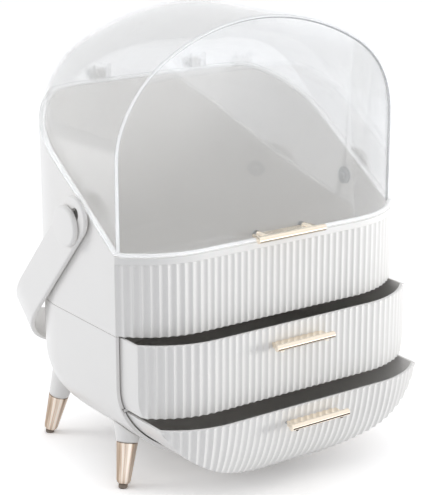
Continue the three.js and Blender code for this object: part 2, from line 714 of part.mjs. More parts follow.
for (const [name, side] of [['left', -1], ['right', 1]]) {
  const out = point(side, 0, 0);
  const at = (x) => point(side * x, pivotDepth, pivotZ);
  const neckEnd = half - wall - fit;
  const neck = strapOuter + fit - neckEnd;
  const cap = knobThickness;
  const knob = turned([[0, 0], [pivotDiameter / 2, 0], [pivotDiameter / 2, neck],
    [knobDiameter / 2, neck], [knobDiameter / 2, neck + cap * 0.6],
    [knobDiameter / 2 - cap * 0.4, neck + cap], [0, neck + cap * 0.84]], at(neckEnd), out, 28);
  const pilot = screwHole(at(neckEnd - wall), at(neckEnd + screwGrip + fit));
  piece(`knob_${name}`, knob.subtract(pilot), white);
  const washer = rod(washerDiameter / 2, at(neckEnd - fit), at(neckEnd - fit - washerThickness));
  piece(`pivot_washer_${name}`, washer.subtract(pilot).subtract(
    screwHole(at(neckEnd), at(neckEnd - wall * 2))), steel);
  piece(`pivot_screw_${name}`, screw(at(neckEnd - fit * 2 - washerThickness), at(neckEnd + screwGrip)),
    steel);
}

// The origin lies on the floor, under the middle of the box with its drawers and handle as placed
const frontmost = -bow - pullReach - pullBar / 2 - bottomPull;
const backmost = pivotDepth + (strapLength + strapThickness / 2) * Math.cos(down)
  + strapWidth / 2 * Math.sin(down);
group.position.y = -(frontmost + backmost) / 2;

export default group;
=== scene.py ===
from math import acos, asin, atan, atan2, copysign, cos, hypot, pi, radians, sin, sqrt, tan

import bpy
import bmesh
import numpy as np
from mathutils import Matrix, Vector


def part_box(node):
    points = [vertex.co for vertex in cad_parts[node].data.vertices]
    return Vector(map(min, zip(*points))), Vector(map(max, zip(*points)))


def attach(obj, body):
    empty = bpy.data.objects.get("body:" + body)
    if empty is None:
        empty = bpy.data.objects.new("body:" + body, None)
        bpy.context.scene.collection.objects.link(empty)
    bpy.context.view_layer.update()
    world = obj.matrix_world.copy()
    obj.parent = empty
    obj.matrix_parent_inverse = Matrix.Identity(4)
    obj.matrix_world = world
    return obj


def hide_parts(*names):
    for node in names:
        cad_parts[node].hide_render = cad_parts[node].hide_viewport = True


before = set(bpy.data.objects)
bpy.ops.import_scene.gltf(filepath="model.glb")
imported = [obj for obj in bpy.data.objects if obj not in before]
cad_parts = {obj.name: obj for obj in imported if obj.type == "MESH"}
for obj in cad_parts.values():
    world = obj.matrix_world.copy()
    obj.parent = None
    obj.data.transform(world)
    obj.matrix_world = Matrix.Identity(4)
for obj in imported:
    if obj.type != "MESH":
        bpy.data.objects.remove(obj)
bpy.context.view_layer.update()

# The drawer housing: an egg-shaped trough, open in front and on top, that both drawers slide in.
# Injection-moulded ABS, 3 mm thick, with a groove along each side for the shelf between the drawers.
# Pieces are drawn in millimetres, and their depths run back from the front edge of the side walls.

HALF_WIDTH = 130
SIDE_DEPTH = 154
CORNER = 68
CORNER_START = SIDE_DEPTH - CORNER
BELLY = 91
EGG_DEPTH = 80
BACK_RISE = 32
WALL = 3
SEAM = 131
GAP = 0.3
SHELF_TOP = 73.7
SHELF_LOW = 70.9
SHELF_GROOVE = 1.2
CORNER_STEPS = 24
ABOVE_SHELF_STEPS = 7
BELLY_STEPS = 44
# Points nearer to each other than this are one point.
MERGE = 0.004
FRONT_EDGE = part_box("lower_housing")[0].y


def egg_wall(turn, inset):
    """Depth, half width and belly depth of the egg where its upright corner has turned so far."""
    radius = CORNER - inset
    return (CORNER_START + radius * sin(turn), HALF_WIDTH - CORNER + radius * cos(turn),
            EGG_DEPTH - inset - BACK_RISE * (1 - cos(turn)))


def placed(name, data):
    """A new object in the scene, unturned, at the origin."""
    thing = bpy.data.objects.new(name, data)
    bpy.context.scene.collection.objects.link(thing)
    return thing


def mesh_of(name, shape, depth=0.0):
    """The mesh of a shape drawn in millimetres, with its faces turned outwards."""
    bmesh.ops.recalc_face_normals(shape, faces=shape.faces)
    mesh = bpy.data.meshes.new(name)
    shape.to_mesh(mesh)
    shape.free()
    mesh.transform(Matrix.Translation((0, depth, 0)) @ Matrix.Scale(0.001, 4))
    return mesh


def solid(name, grids, loops=()):
    """One closed mesh from grids of points that meet along their edges; each loop is filled flat."""
    shape = bmesh.new()
    for grid in grids:
        rows = [[shape.verts.new(p) for p in row] for row in grid]
        for low, high in zip(rows, rows[1:]):
            for a, b, c, d in zip(low, low[1:], high[1:], high):
                shape.faces.new((a, b, c, d))
    for loop in loops:
        shape.faces.new([shape.verts.new(p) for p in loop])
    bmesh.ops.remove_doubles(shape, verts=shape.verts, dist=MERGE)
    mesh = mesh_of(name, shape, FRONT_EDGE)
    mesh.shade_smooth()
    return placed(name, mesh)


def keep_flat(piece):
    """Keeps large faces flat to the eye where they run into rounded edges."""
    piece.modifiers.new("flat faces stay flat", "WEIGHTED_NORMAL").weight = 80


def soften(piece, radius, angle=50, segments=3):
    """Rounds the edges that turn by more than an angle, as every moulded edge is rounded."""
    bevel = piece.modifiers.new("rounded edges", "BEVEL")
    bevel.width = radius / 1000
    bevel.segments = segments
    bevel.limit_method = "ANGLE"
    bevel.angle_limit = radians(angle)
    bevel.use_clamp_overlap = False
    keep_flat(piece)


def linear(code):
    """An sRGB hex colour as the linear colour that a shader socket takes."""
    shares = [int(code[i:i + 2], 16) / 255 for i in (1, 3, 5)]
    return [c / 12.92 if c <= 0.04045 else ((c + 0.055) / 1.055) ** 2.4 for c in shares] + [1]


def add(tree, kind, settings=(), links=()):
    """A node with its settings; each link brings an output, or a node's first one, to an input."""
    node = tree.nodes.new(kind)
    for key, value in dict(settings).items():
        if isinstance(key, str) and key.islower() and hasattr(node, key):
            setattr(node, key, value)
        else:
            node.inputs[key].default_value = value
    for key, source in dict(links).items():
        output = source.outputs[0] if isinstance(source, bpy.types.Node) else source
        tree.links.new(output, node.inputs[key])
    return node


def cleared(owner):
    """The emptied node tree of a material or of the world."""
    owner.use_nodes = True
    owner.node_tree.nodes.clear()
    return owner.node_tree


def finish_of(name, colour, tint, roughness, spread, grain, bump, settings, broad_grain=45, follows=""):
    """A surface whose colour, gloss and height vary by noises of a real size in millimetres, in the
    object's own space or along an attribute that the surface carries."""
    material = bpy.data.materials.new(name)
    tree = cleared(material)
    if follows:
        place = add(tree, "ShaderNodeAttribute", {"attribute_name": follows}).outputs["Vector"]
    else:
        place = add(tree, "ShaderNodeTexCoord").outputs["Object"]
    broad = add(tree, "ShaderNodeTexNoise", {"Scale": 1000 / broad_grain, "Detail": 3.0}, {"Vector": place})
    if follows:
        # The middle of the noise is stretched to its whole range, so that the painted reflection streaks
        # stand out.
        broad = add(tree, "ShaderNodeMapRange", {"From Min": 0.38, "From Max": 0.62}, {"Value": broad})
    fine = add(tree, "ShaderNodeTexNoise", {"Scale": 1000 / grain, "Detail": 4.0}, {"Vector": place})
    # A Mix node's two colours are its sockets 6 and 7, and the mixed colour is its output 2.
    hue = add(tree, "ShaderNodeMix", {"data_type": "RGBA", 6: linear(colour), 7: linear(tint)}, {0: broad})
    gloss = add(tree, "ShaderNodeMapRange", {"To Min": roughness - spread, "To Max": roughness + spread},
                {"Value": fine})
    relief = add(tree, "ShaderNodeBump", {"Strength": 1.0, "Distance": bump / 1000}, {"Height": fine})
    shader = add(tree, "ShaderNodeBsdfPrincipled", settings,
                 {"Base Color": hue.outputs[2], "Roughness": gloss, "Normal": relief})
    add(tree, "ShaderNodeOutputMaterial", {}, {"Surface": shader})
    return material


# ABS moulded in a polished tool: an even satin white, with a faint ripple from the cooling plastic.
white_abs = finish_of("satin_moulded_abs", "#F3F1EE", "#EFEDEA", 0.3, 0.035, 1.4, 0.004, {"IOR": 1.53})


def fit(piece, material, body, slot, *nodes):
    """Gives a piece its finish, the body it moves with and the CAD nodes it stands for."""
    piece.data.materials.clear()
    piece.data.materials.append(material)
    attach(piece, body)
    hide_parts(*nodes)


def trough_ring(turn, inset, front=False):
    """A ring of the trough's wall, from the left edge under the belly to the right edge. The inner
    skin, which is the one set in, has the shelf's grooves."""
    depth, half, low = egg_wall(turn, inset)
    marks = [asin((BELLY - z) / low) for z in (SHELF_TOP, SHELF_LOW)]
    above = list(np.linspace(0, marks[0], ABOVE_SHELF_STEPS))
    between = list(np.linspace(*marks, 4))[1:3]
    below = list(np.linspace(marks[1], pi / 2, BELLY_STEPS))
    ring = [(half, SEAM - GAP), (half, (SEAM + BELLY) / 2)]
    groove = len(ring + above)
    ring += [(half * cos(a), BELLY - low * sin(a)) for a in above + between + below]
    if inset:
        wide, deep = egg_wall(turn, inset - SHELF_GROOVE)[1:]
        for place, z in ((groove, SHELF_TOP), (groove + 1, SHELF_LOW)):
            ring[place] = (wide * sqrt(1 - ((BELLY - z) / deep) ** 2), z)
    depth = 0 if front else depth
    return [(-x, depth, z) for x, z in ring] + [(x, depth, z) for x, z in ring[-2::-1]]


def strips(ring):
    """Level strips that close the flat back, from one side of a ring to the other."""
    return [[ring[i], ring[-1 - i]] for i in range(len(ring) // 2 + 1)]


turns = list(np.linspace(0, pi / 2, CORNER_STEPS))
outside, inside = [[trough_ring(0, inset, front=True)] + [trough_ring(t, inset) for t in turns]
                   for inset in (0, WALL)]
top_edges = [[ring[0] for ring in rings] + [ring[-1] for ring in reversed(rings)]
             for rings in (outside, inside)]
housing = solid("housing_trough", [outside, inside, strips(outside[-1]), strips(inside[-1]),
                                   [outside[0], inside[0]], top_edges])
soften(housing, 0.45)
fit(housing, white_abs, "box", "white_plastic", "lower_housing")

# The shelf between the drawers: a plain white ABS plate that slides into the housing's grooves.
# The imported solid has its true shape, so it only gets the finish.
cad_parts["drawer_shelf"].data.materials[0] = white_abs

# The bin: one ABS moulding with a fluted bow front, straight sides whose rim slopes up, and a round
# back. Its floor stands on the housing, held by two screws; two tongues on its back rim take the
# hinge pins. The hollow flutes meet in sharp ridges and end under a smooth band.

FLAT = 71
NOSE = 76
NOSE_SIDE = HALF_WIDTH - FLAT
BOW = NOSE - sqrt(NOSE ** 2 - NOSE_SIDE ** 2)
NOSE_CENTRE = NOSE - BOW
FLUTES = 45
FLUTE_PITCH = 5.94
CORNER_PITCH = NOSE * asin(NOSE_SIDE / NOSE) / (FLUTES / 2 - FLAT / FLUTE_PITCH)
FLUTE_DEPTH = 1.5
FLUTE_STEPS = 10
FLUTE_END = 1.2
FLUTE_FADE = 0.5
HALF_STEPS = FLUTES * FLUTE_STEPS // 2
RIDGE_SOFTNESS = 0.1
RIM_FRONT = 191
RIM_TOP = 284
RIM_BEND = 9
PLAIN_BAND = 5
BAND_LOW = RIM_FRONT - PLAIN_BAND
BIN_ROWS = (SEAM, 150, 168)
SLOPE = atan(0.65)
THICK_DEPTH = 6
BIN_FLOOR = SEAM + WALL
FLOOR_ROUND = 4


def bowed(run, inset):
    """A point of the bowed front, by its run along the front from the middle."""
    turn = max(0, abs(run) - FLAT) / NOSE
    radius = NOSE - inset
    x = copysign(min(abs(run), FLAT) + radius * sin(turn), run)
    return x, NOSE_CENTRE - radius * cos(turn)


def run_of(count):
    """Run along the front after so many flutes from the middle; they are wider round the corners."""
    rounded = max(0, abs(count) - FLAT / FLUTE_PITCH)
    return copysign((abs(count) - rounded) * FLUTE_PITCH + rounded * CORNER_PITCH, count)


def rim(depth):
    """Height of the rim: level in front, a bend, the slope, and level along the back."""
    start = -RIM_BEND * tan(SLOPE / 2)
    into = np.clip(depth - start, 0, RIM_BEND * sin(SLOPE))
    bend = RIM_FRONT + RIM_BEND - np.sqrt(RIM_BEND ** 2 - into ** 2)
    line = RIM_FRONT + tan(SLOPE) * np.maximum(depth, 0)
    return np.minimum(np.where(depth > start + RIM_BEND * sin(SLOPE), line, bend), RIM_TOP)


def set_in(loop, distance):
    """A plan outline that runs counter-clockwise, moved inwards by a distance at each point."""
    loop = np.asarray(loop, float)
    sides = []
    for edge in (loop - np.roll(loop, 1, axis=0), np.roll(loop, -1, axis=0) - loop):
        length = np.maximum(np.linalg.norm(edge, axis=1, keepdims=True), 1e-9)
        sides.append(np.stack([-edge[:, 1], edge[:, 0]], 1) / length)
    middle = sides[0] + sides[1]
    middle /= np.linalg.norm(middle, axis=1, keepdims=True)
    reach = np.maximum((middle * sides[0]).sum(1, keepdims=True), 0.5)
    return loop + middle / reach * np.reshape(distance, (-1, 1))


def box_plan(runs, side_steps, corner_steps, back_steps):
    """The whole box seen from above, counter-clockwise from its left front corner."""
    front = [bowed(run, 0) for run in runs]
    side = [(HALF_WIDTH, y) for y in np.linspace(0, CORNER_START, side_steps + 1)[1:]]
    corner = [egg_wall(t, 0)[1::-1] for t in np.linspace(0, pi / 2, corner_steps + 1)[1:]]
    right = side + corner
    back = [(x, SIDE_DEPTH) for x in np.linspace(HALF_WIDTH - CORNER, CORNER - HALF_WIDTH,
                                                 back_steps + 1)[1:-1]]
    return np.array(front + right + back + [(-x, y) for x, y in reversed(right)], float)


def stacked(loop, rows):
    """Rows of a wall over a plan outline; each row is an inset and a height or a rule for it."""
    made = []
    for inset, height in rows:
        ring = set_in(loop, inset)
        z = height(ring[:, 1]) if callable(height) else np.full(len(ring), height)
        ring = np.column_stack([ring, z])
        made.append(np.vstack([ring, ring[:1]]))
    return made


# The points that the flutes are sunk in lie in front of this depth, and this near to the bow.
FACE_END = NOSE_CENTRE - 20
FACE_PLAY = (-0.05, 0.8)
MARKS = (("run", "FLOAT", "value"), ("hollow", "FLOAT", "value"), ("inwards", "FLOAT_VECTOR", "vector"))


def node_tree(name, inputs):
    """A geometry node tree with named inputs, and the sockets that bring them."""
    tree = bpy.data.node_groups.new(name, "GeometryNodeTree")
    for label, kind in {"Geometry": "Geometry", **inputs, "Finish": "Material"}.items():
        tree.interface.new_socket(label, in_out="INPUT", socket_type=f"NodeSocket{kind}")
    tree.interface.new_socket("Geometry", in_out="OUTPUT", socket_type="NodeSocketGeometry")
    return tree, add(tree, "NodeGroupInput").outputs


def end_tree(tree, given, shape):
    """Ends a tree: its instances are made real and its finish is set."""
    real = add(tree, "GeometryNodeRealizeInstances", {}, {"Geometry": shape})
    done = add(tree, "GeometryNodeSetMaterial", {}, {"Geometry": real, "Material": given["Finish"]})
    add(tree, "NodeGroupOutput", {}, {"Geometry": done})
    return tree


def fluting():
    """Node tree that hollows the flutes out of a face. The face carries its run along the front, a
    share from 0 to 1 of how deep the flutes are there, and the way inwards."""
    tree, given = node_tree("fluting", {"Flat half": "Float", "Flute pitch": "Float",
                                        "Corner pitch": "Float", "Flute depth": "Float",
                                        "Ridge softness": "Float"})
    found = dict(given.items())
    for name, kind, key in MARKS:
        found[name] = add(tree, "GeometryNodeInputNamedAttribute", {"data_type": kind, "Name": name})
    for name, operation, *terms in (
            ("far", "ABSOLUTE", "run"),
            ("straight", "MINIMUM", "far", "Flat half"),
            ("corner", "SUBTRACT", "far", "straight"),
            ("straight flutes", "DIVIDE", "straight", "Flute pitch"),
            ("corner flutes", "DIVIDE", "corner", "Corner pitch"),
            ("flutes", "ADD", "straight flutes", "corner flutes"),
            ("phase", "MULTIPLY", "flutes", pi),
            ("wave", "COSINE", "phase"),
            ("wave squared", "MULTIPLY", "wave", "wave"),
            ("softness squared", "MULTIPLY", "Ridge softness", "Ridge softness"),
            ("sum", "ADD", "wave squared", "softness squared"),
            ("largest sum", "ADD", "softness squared", 1.0),
            ("root", "SQRT", "sum"),
            ("largest root", "SQRT", "largest sum"),
            ("rise", "SUBTRACT", "root", "Ridge softness"),
            ("largest rise", "SUBTRACT", "largest root", "Ridge softness"),
            ("part", "DIVIDE", "rise", "largest rise"),
            ("part here", "MULTIPLY", "part", "hollow"),
            ("depth", "MULTIPLY", "part here", "Flute depth")):
        numbers = {i: term for i, term in enumerate(terms) if not isinstance(term, str)}
        sources = {i: found[term] for i, term in enumerate(terms) if isinstance(term, str)}
        found[name] = add(tree, "ShaderNodeMath", {"operation": operation, **numbers}, sources)
    offset = add(tree, "ShaderNodeVectorMath", {"operation": "SCALE"},
                 {0: found["inwards"], "Scale": found["depth"]})
    sunk = add(tree, "GeometryNodeSetPosition", {}, {"Geometry": given["Geometry"], "Offset": offset})
    return end_tree(tree, given, sunk)


def through(piece, tree, inputs):
    """Runs a piece through a node tree and keeps what comes out as its plain mesh."""
    modifier = piece.modifiers.new(tree.name, "NODES")
    modifier.node_group = tree
    for item in tree.interface.items_tree:
        if item.in_out == "INPUT" and item.name in inputs:
            modifier[item.identifier] = inputs[item.name]
    graph = bpy.context.evaluated_depsgraph_get()
    mesh = bpy.data.meshes.new_from_object(piece.evaluated_get(graph), depsgraph=graph)
    piece.modifiers.clear()
    mesh.name = piece.data.name
    piece.data = mesh
    mesh.shade_smooth()


def in_millimetres(point):
    """A point of the frame in the millimetres that the pieces are drawn in."""
    return (Vector(point) - Vector((0, FRONT_EDGE, 0))) * 1000


flutes = fluting()


def flute_front(piece, hollow_at, opened=0, recess=lambda z: 0):
    """Marks the bowed face of a piece for the fluting and sends it through."""
    run, hollow, way = [], [], []
    for vertex in piece.data.vertices:
        x, y, z = in_millimetres(vertex.co)
        y += opened
        over = max(0, abs(x) - FLAT)
        turn = atan2(over, NOSE_CENTRE - y)
        sunk = NOSE - recess(z) - hypot(over, NOSE_CENTRE - y)
        on_face = y < FACE_END and FACE_PLAY[0] < sunk < FACE_PLAY[1]
        run.append(copysign(min(abs(x), FLAT) + NOSE * turn, x) / 1000)
        hollow.append(hollow_at(z) if on_face else 0.0)
        way += [-copysign(sin(turn), x), cos(turn), 0]
    for (name, kind, key), values in zip(MARKS, (run, hollow, way)):
        piece.data.attributes.new(name, kind, "POINT").data.foreach_set(key, values)
    through(piece, flutes, {"Flat half": FLAT / 1000, "Flute pitch": FLUTE_PITCH / 1000,
                            "Corner pitch": CORNER_PITCH / 1000, "Flute depth": FLUTE_DEPTH / 1000,
                            "Ridge softness": RIDGE_SOFTNESS, "Finish": white_abs})
    for name, kind, key in MARKS:
        piece.data.attributes.remove(piece.data.attributes[name])


flute_runs = [run_of(i / FLUTE_STEPS) for i in range(-HALF_STEPS, HALF_STEPS + 1)]
bin_plan = box_plan(flute_runs, side_steps=6, corner_steps=20, back_steps=6)
inner = np.where(bin_plan[:, 1] < THICK_DEPTH, WALL + FLUTE_DEPTH, WALL)
bin_rows = [(0, z) for z in (*BIN_ROWS, BAND_LOW - FLUTE_END, BAND_LOW - FLUTE_FADE, BAND_LOW, rim)]
bin_rows += [(WALL, rim), (inner, BAND_LOW), (inner, BIN_FLOOR + FLOOR_ROUND),
             (inner + 0.3 * FLOOR_ROUND, BIN_FLOOR + 0.3 * FLOOR_ROUND), (inner + FLOOR_ROUND, BIN_FLOOR)]
bin_walls = stacked(bin_plan, bin_rows)
bin_shell = solid("bin_shell", [bin_walls], [bin_walls[0][:-1], bin_walls[-1][:-1]])
flute_front(bin_shell, lambda z: float(np.clip((BAND_LOW - z) / FLUTE_END, 0, 1)) ** 0.5)
soften(bin_shell, 0.5)
fit(bin_shell, white_abs, "box", "white_plastic", "upper_bin")

HINGE_PLACE = 46
HINGE_Y = SIDE_DEPTH + 5
HINGE_Z = RIM_TOP + 6
EYE = 4.2
TONGUE_WIDTH = 11.6
TONGUE_ROOT = 1.5
TONGUE_TOP = RIM_TOP - 3
TONGUE_LOW = RIM_TOP - 16


def arc(y, z, radius, start, end, steps):
    """Points of an arc in a side view, angles in degrees from straight back."""
    return [(y + radius * cos(radians(a)), z + radius * sin(radians(a)))
            for a in np.linspace(start, end, steps)]


def plates(name, side_line, places, width):
    """Plates of one side outline, set at several places across the box."""
    grids, loops = [], []
    for x in places:
        ends = [[(side, y, z) for y, z in side_line] for side in (x - width / 2, x + width / 2)]
        grids.append([end + end[:1] for end in ends])
        loops += ends
    return solid(name, grids, loops)


tongue = [(SIDE_DEPTH - TONGUE_ROOT, TONGUE_TOP), (SIDE_DEPTH - TONGUE_ROOT, TONGUE_LOW)]
tongue += [(SIDE_DEPTH, TONGUE_LOW)] + arc(HINGE_Y, HINGE_Z, EYE, -30, 200, 20)
tongues = plates("hinge_tongues", tongue, (-HINGE_PLACE, HINGE_PLACE), TONGUE_WIDTH)
soften(tongues, 0.4)
fit(tongues, white_abs, "box", "white_plastic")

# The drawers: each one white ABS moulding, 2.2 mm thick, with the flutes run right up to its edge.
# They slide in the trough and on the shelf. The middle one stands 18 mm open and the bottom one
# 36.7 mm; its front runs back under the belly, and the flutes follow it down.

DRAWER_WALL = 2.2
DRAWER_PLAY = 0.9
DRAWER_INSET = WALL + DRAWER_PLAY
DRAWER_BACK = 129
BELLY_RUN = 30
MIDDLE_OPEN = 18
BOTTOM_OPEN = 36.7
MIDDLE_LOW = 74
MIDDLE_TOP = 129.7
BOTTOM_TOP = SHELF_LOW - GAP
# The bottom drawer has no flat floor: it would lie below the belly.
NO_FLOOR = -100
# The columns of the flutes keep this far from a drawer's side and from the end of its floor.
SIDE_ROOM = 0.3
EDGE_ROOM = 0.2


def recess(z):
    """How far the drawer front has run back at a height."""
    fall = min(1, max(0, BELLY - z) / (EGG_DEPTH - DRAWER_INSET))
    return BELLY_RUN * (1 - sqrt(1 - fall ** 2))


class Skin:
    """The outer or the inner skin of a drawer, inside the egg and behind the bowed front."""

    def __init__(self, side, front, top, floor, back):
        self.side, self.front, self.top, self.floor, self.back = side, front, top, floor, back
        self.flat = floor > BELLY - egg_wall(0, side)[2] + 1
        self.end = self.end_run(top)
        self.edge = self.end_run(floor) if self.flat else self.end / 2

    def reach(self, turn, z):
        """Half width of the egg at a height."""
        half, low = egg_wall(turn, self.side)[1:]
        return half * sqrt(max(0, 1 - (max(0, BELLY - z) / low) ** 2))

    def end_run(self, z):
        """Run along the front at which it meets the side, at a height."""
        x = self.reach(0, z)
        turn = asin(max(0, x - FLAT) / (NOSE - self.front - recess(z)))
        return min(x, FLAT) + NOSE * turn

    def lowest(self, run):
        """Height at which the front meets the belly or the floor."""
        low, high = BELLY - egg_wall(0, self.side)[2], self.top
        for _ in range(40):
            z = (low + high) / 2
            if self.reach(0, z) > abs(bowed(run, self.front + recess(z))[0]) - 1e-7:
                high = z
            else:
                low = z
        return max(high, self.floor)

    def front_grid(self, marks, rows):
        """The bowed front; marks run from -2 to 2, with the ends of the floor at -1 and 1."""
        columns = []
        for mark in marks:
            run = copysign(np.interp(abs(mark), (0, 1, 2), (0, self.edge, self.end)), mark)
            levels = np.linspace(self.top, self.lowest(run), rows)
            columns.append([(*bowed(run, self.front + recess(z)), z) for z in levels])
        return [list(row) for row in zip(*columns)]

    def belly_grid(self, front):
        """The sides and the belly or floor, as rings from the edge of the front to the back."""
        border = [row[0] for row in front] + front[-1][1:-1] + [row[-1] for row in front[::-1]]
        rings = [border]
        for share in (0.04, 0.2, 0.45, 0.75, 1):
            rings.append([(x, y + (CORNER_START - y) * share, z) for x, y, z in border])
        last = asin((self.back - CORNER_START) / (CORNER - self.side))
        edge, end = self.reach(0, self.floor) if self.flat else 0, self.reach(0, self.top)
        for turn in np.linspace(0, last, 12)[1:]:
            depth, half, low = egg_wall(turn, self.side)
            far_edge = self.reach(turn, self.floor) if self.flat else 0
            far_end = self.reach(turn, self.top)
            ring = []
            for x, y, z in border:
                across = np.interp(abs(x), (0, max(edge, 0.001), end), (0, far_edge, far_end))
                if abs(x) >= edge and z < BELLY:
                    z = BELLY - low * sqrt(max(0, 1 - (across / half) ** 2))
                ring.append((copysign(across, x), depth, min(z, self.top)))
            rings.append(ring)
        return rings


def top_loop(front, belly):
    """The line round the top of a skin."""
    return front[0] + [ring[-1] for ring in belly[1:]] + [ring[0] for ring in belly[:0:-1]] + front[0][:1]


def drawer(name, top, floor, opened, body, node):
    """One drawer, with its flutes sunk and its edges rounded."""
    outer = Skin(DRAWER_INSET, 0, top, floor, DRAWER_BACK)
    inner = Skin(DRAWER_INSET + DRAWER_WALL, FLUTE_DEPTH + DRAWER_WALL, top, floor + DRAWER_WALL,
                 DRAWER_BACK - DRAWER_WALL)
    stops = [outer.edge, outer.end] if outer.flat else [outer.end]
    runs = [run_of(i / FLUTE_STEPS) for i in range(2 * HALF_STEPS)]
    runs = [r for r in runs if r < outer.end - SIDE_ROOM and abs(r - stops[0]) > EDGE_ROOM]
    runs = sorted(runs + stops)
    marks = list(np.interp(runs, (0, outer.edge, outer.end), (0, 1, 2)))
    marks = [-m for m in marks[:0:-1]] + marks
    grids, edges, backs = [], [], []
    for skin in (outer, inner):
        front = skin.front_grid(marks, 20)
        belly = skin.belly_grid(front)
        grids += [front, belly]
        edges.append(top_loop(front, belly))
        backs.append([(x, y - opened, z) for x, y, z in belly[-1]])
    grids.append(edges)
    grids = [[[(x, y - opened, z) for x, y, z in row] for row in grid] for grid in grids]
    piece = solid(name, grids, backs)
    flute_front(piece, lambda z: 1.0, opened, recess)
    soften(piece, 0.35)
    fit(piece, white_abs, body, "white_plastic", node)


drawer("middle_drawer_tub", MIDDLE_TOP, MIDDLE_LOW, MIDDLE_OPEN, "upper_drawer", "middle_drawer")
drawer("bottom_drawer_tub", BOTTOM_TOP, NO_FLOOR, BOTTOM_OPEN, "lower_drawer", "bottom_drawer")

# The clear dome: one polystyrene moulding, 2.2 mm thick, arched from side to side and rounded down
# at the back; its front pane leans back from the bow. A flange round its foot rests on the bin's
# rim, and four ears at the back turn on the hinge pins.

DOME_INSET = 3
DOME_WALL = 2.2
DOME_FLANGE = 2.4
DOME_TOP = 351.4
CROWN = 172
SHOULDER = 80
REAR = 55
REAR_START = SIDE_DEPTH - DOME_INSET - REAR
PANE_EDGE = 1.6
INNER_EDGE = 0.5
ARCH_STEPS = 18
FOOT_STEPS = 7
PANE_STEPS = 61


def arch_half(inset):
    """Half an arch, as shares of its half width and of its rise, from the shoulder to the crown."""
    shoulder, crown = SHOULDER - inset, CROWN - inset
    side = HALF_WIDTH - DOME_INSET - SHOULDER
    lift = sqrt((CROWN - SHOULDER) ** 2 - side ** 2)
    lean = atan2(lift, side)
    wide, rise = side + shoulder, crown - lift
    points = [((side + shoulder * cos(t)) / wide, shoulder * sin(t) / rise)
              for t in np.linspace(0, lean, ARCH_STEPS)[:-1]]
    points += [(crown * cos(t) / wide, (crown * sin(t) - lift) / rise)
               for t in np.linspace(lean, pi / 2, ARCH_STEPS)]
    return points, DOME_TOP - CROWN + lift


def pane(x, z, inset):
    """Depth of the leaning front pane at a place."""
    turn = min(1, max(0, abs(x) - FLAT) / (NOSE - DOME_INSET - inset))
    bow = NOSE_CENTRE - (NOSE - DOME_INSET - inset) * sqrt(1 - turn ** 2)
    return inset + (bow - inset) * (1 - (z - RIM_FRONT) / (DOME_TOP - RIM_FRONT))


def dome_skin(inset, foot, rounding):
    """The pane, the arches behind it and the flat of the back of one skin of the dome."""
    points, spring = arch_half(inset)
    half = HALF_WIDTH - DOME_INSET - inset
    rear = REAR - inset

    def ring(turn, depth=None):
        radius = CORNER - DOME_INSET - inset
        y = CORNER_START + radius * sin(turn) if depth is None else depth
        wide = HALF_WIDTH - CORNER + radius * cos(turn)
        top = DOME_TOP - REAR + sqrt(max(0, rear ** 2 - max(0, y - REAR_START) ** 2))
        low, start = float(rim(y)) + foot, max(spring, float(rim(y)))
        line = [(wide, z) for z in np.linspace(low, start, FOOT_STEPS)[:-1]]
        return y, line + [(u * wide, start + v * (top - start)) for u, v in points]

    base = pane(half, RIM_FRONT + foot, inset)
    stations = []
    for share in (0, 0.06, 0.2, 0.4, 0.6, 0.8, 1):
        y, line = ring(0, base + (CORNER_START - base) * share)
        line = [(x, y if share == 1 else (1 - share) * pane(x, z, inset) + share * CORNER_START, z)
                for x, z in line]
        stations.append(line)
    for turn in np.linspace(0, pi / 2, CORNER_STEPS)[1:]:
        y, line = ring(turn)
        stations.append([(x, y, z) for x, z in line])
    arches = [line + [(-x, y, z) for x, y, z in line[-2::-1]] for line in stations]

    edge = stations[0]
    along = np.gradient(np.array([(x, z) for x, y, z in edge]), axis=0)
    along /= np.linalg.norm(along, axis=1, keepdims=True)
    inner = [(max(x - dz * rounding, 0), z + dx * rounding)
             for (x, y, z), (dx, dz) in zip(edge, along)]
    inner[0] = (edge[0][0] - rounding, edge[0][2])
    inner[-1] = (0, edge[-1][2] - rounding)
    blend = []
    for share in (0, 0.25, 0.5, 0.75, 1):
        row = []
        for (x, y, z), (u, w) in zip(edge, inner):
            near, corner, back = [np.array(p) for p in ((u, pane(u, w, inset), w), (x, y, z),
                                                        (x, y + rounding, z))]
            row.append(tuple((1 - share) ** 2 * near + 2 * share * (1 - share) * corner
                             + share ** 2 * back))
        blend.append(row + [(-x, y, z) for x, y, z in row[-2::-1]])
    arches[0] = blend[-1]
    sides = np.sin(np.linspace(-pi / 2, pi / 2, PANE_STEPS))
    face = [[(u * s, pane(u * s, w, inset), w) for s in sides] for u, w in inner]
    face[0] = [(x, y, float(rim(y)) + foot) for x, y, z in face[0]]
    face[0][0], face[0][-1] = (blend[0][-1], blend[0][0])
    back = strips(arches[-1])
    rows = blend + arches[1:]
    loop = face[0] + [row[0] for row in rows[1:]] + [row[-1] for row in rows[:0:-1]]
    return [face, rows, back], loop


outer_skin, outer_foot = dome_skin(0, GAP + DOME_FLANGE, PANE_EDGE)
inner_skin, inner_foot = dome_skin(DOME_WALL, GAP, INNER_EDGE)
flange_top = np.array(outer_foot, float)
flange_top[:, :2] = set_in(flange_top[:, :2], -DOME_INSET)
flange_low = flange_top.copy()
flange_low[:, 2] -= DOME_FLANGE
closing = [[tuple(p) for p in loop] + [tuple(loop[0])]
           for loop in (outer_foot, flange_top, flange_low, inner_foot)]
dome = solid("clear_dome_shell", outer_skin + inner_skin + [closing])
soften(dome, 0.4, angle=55, segments=2)

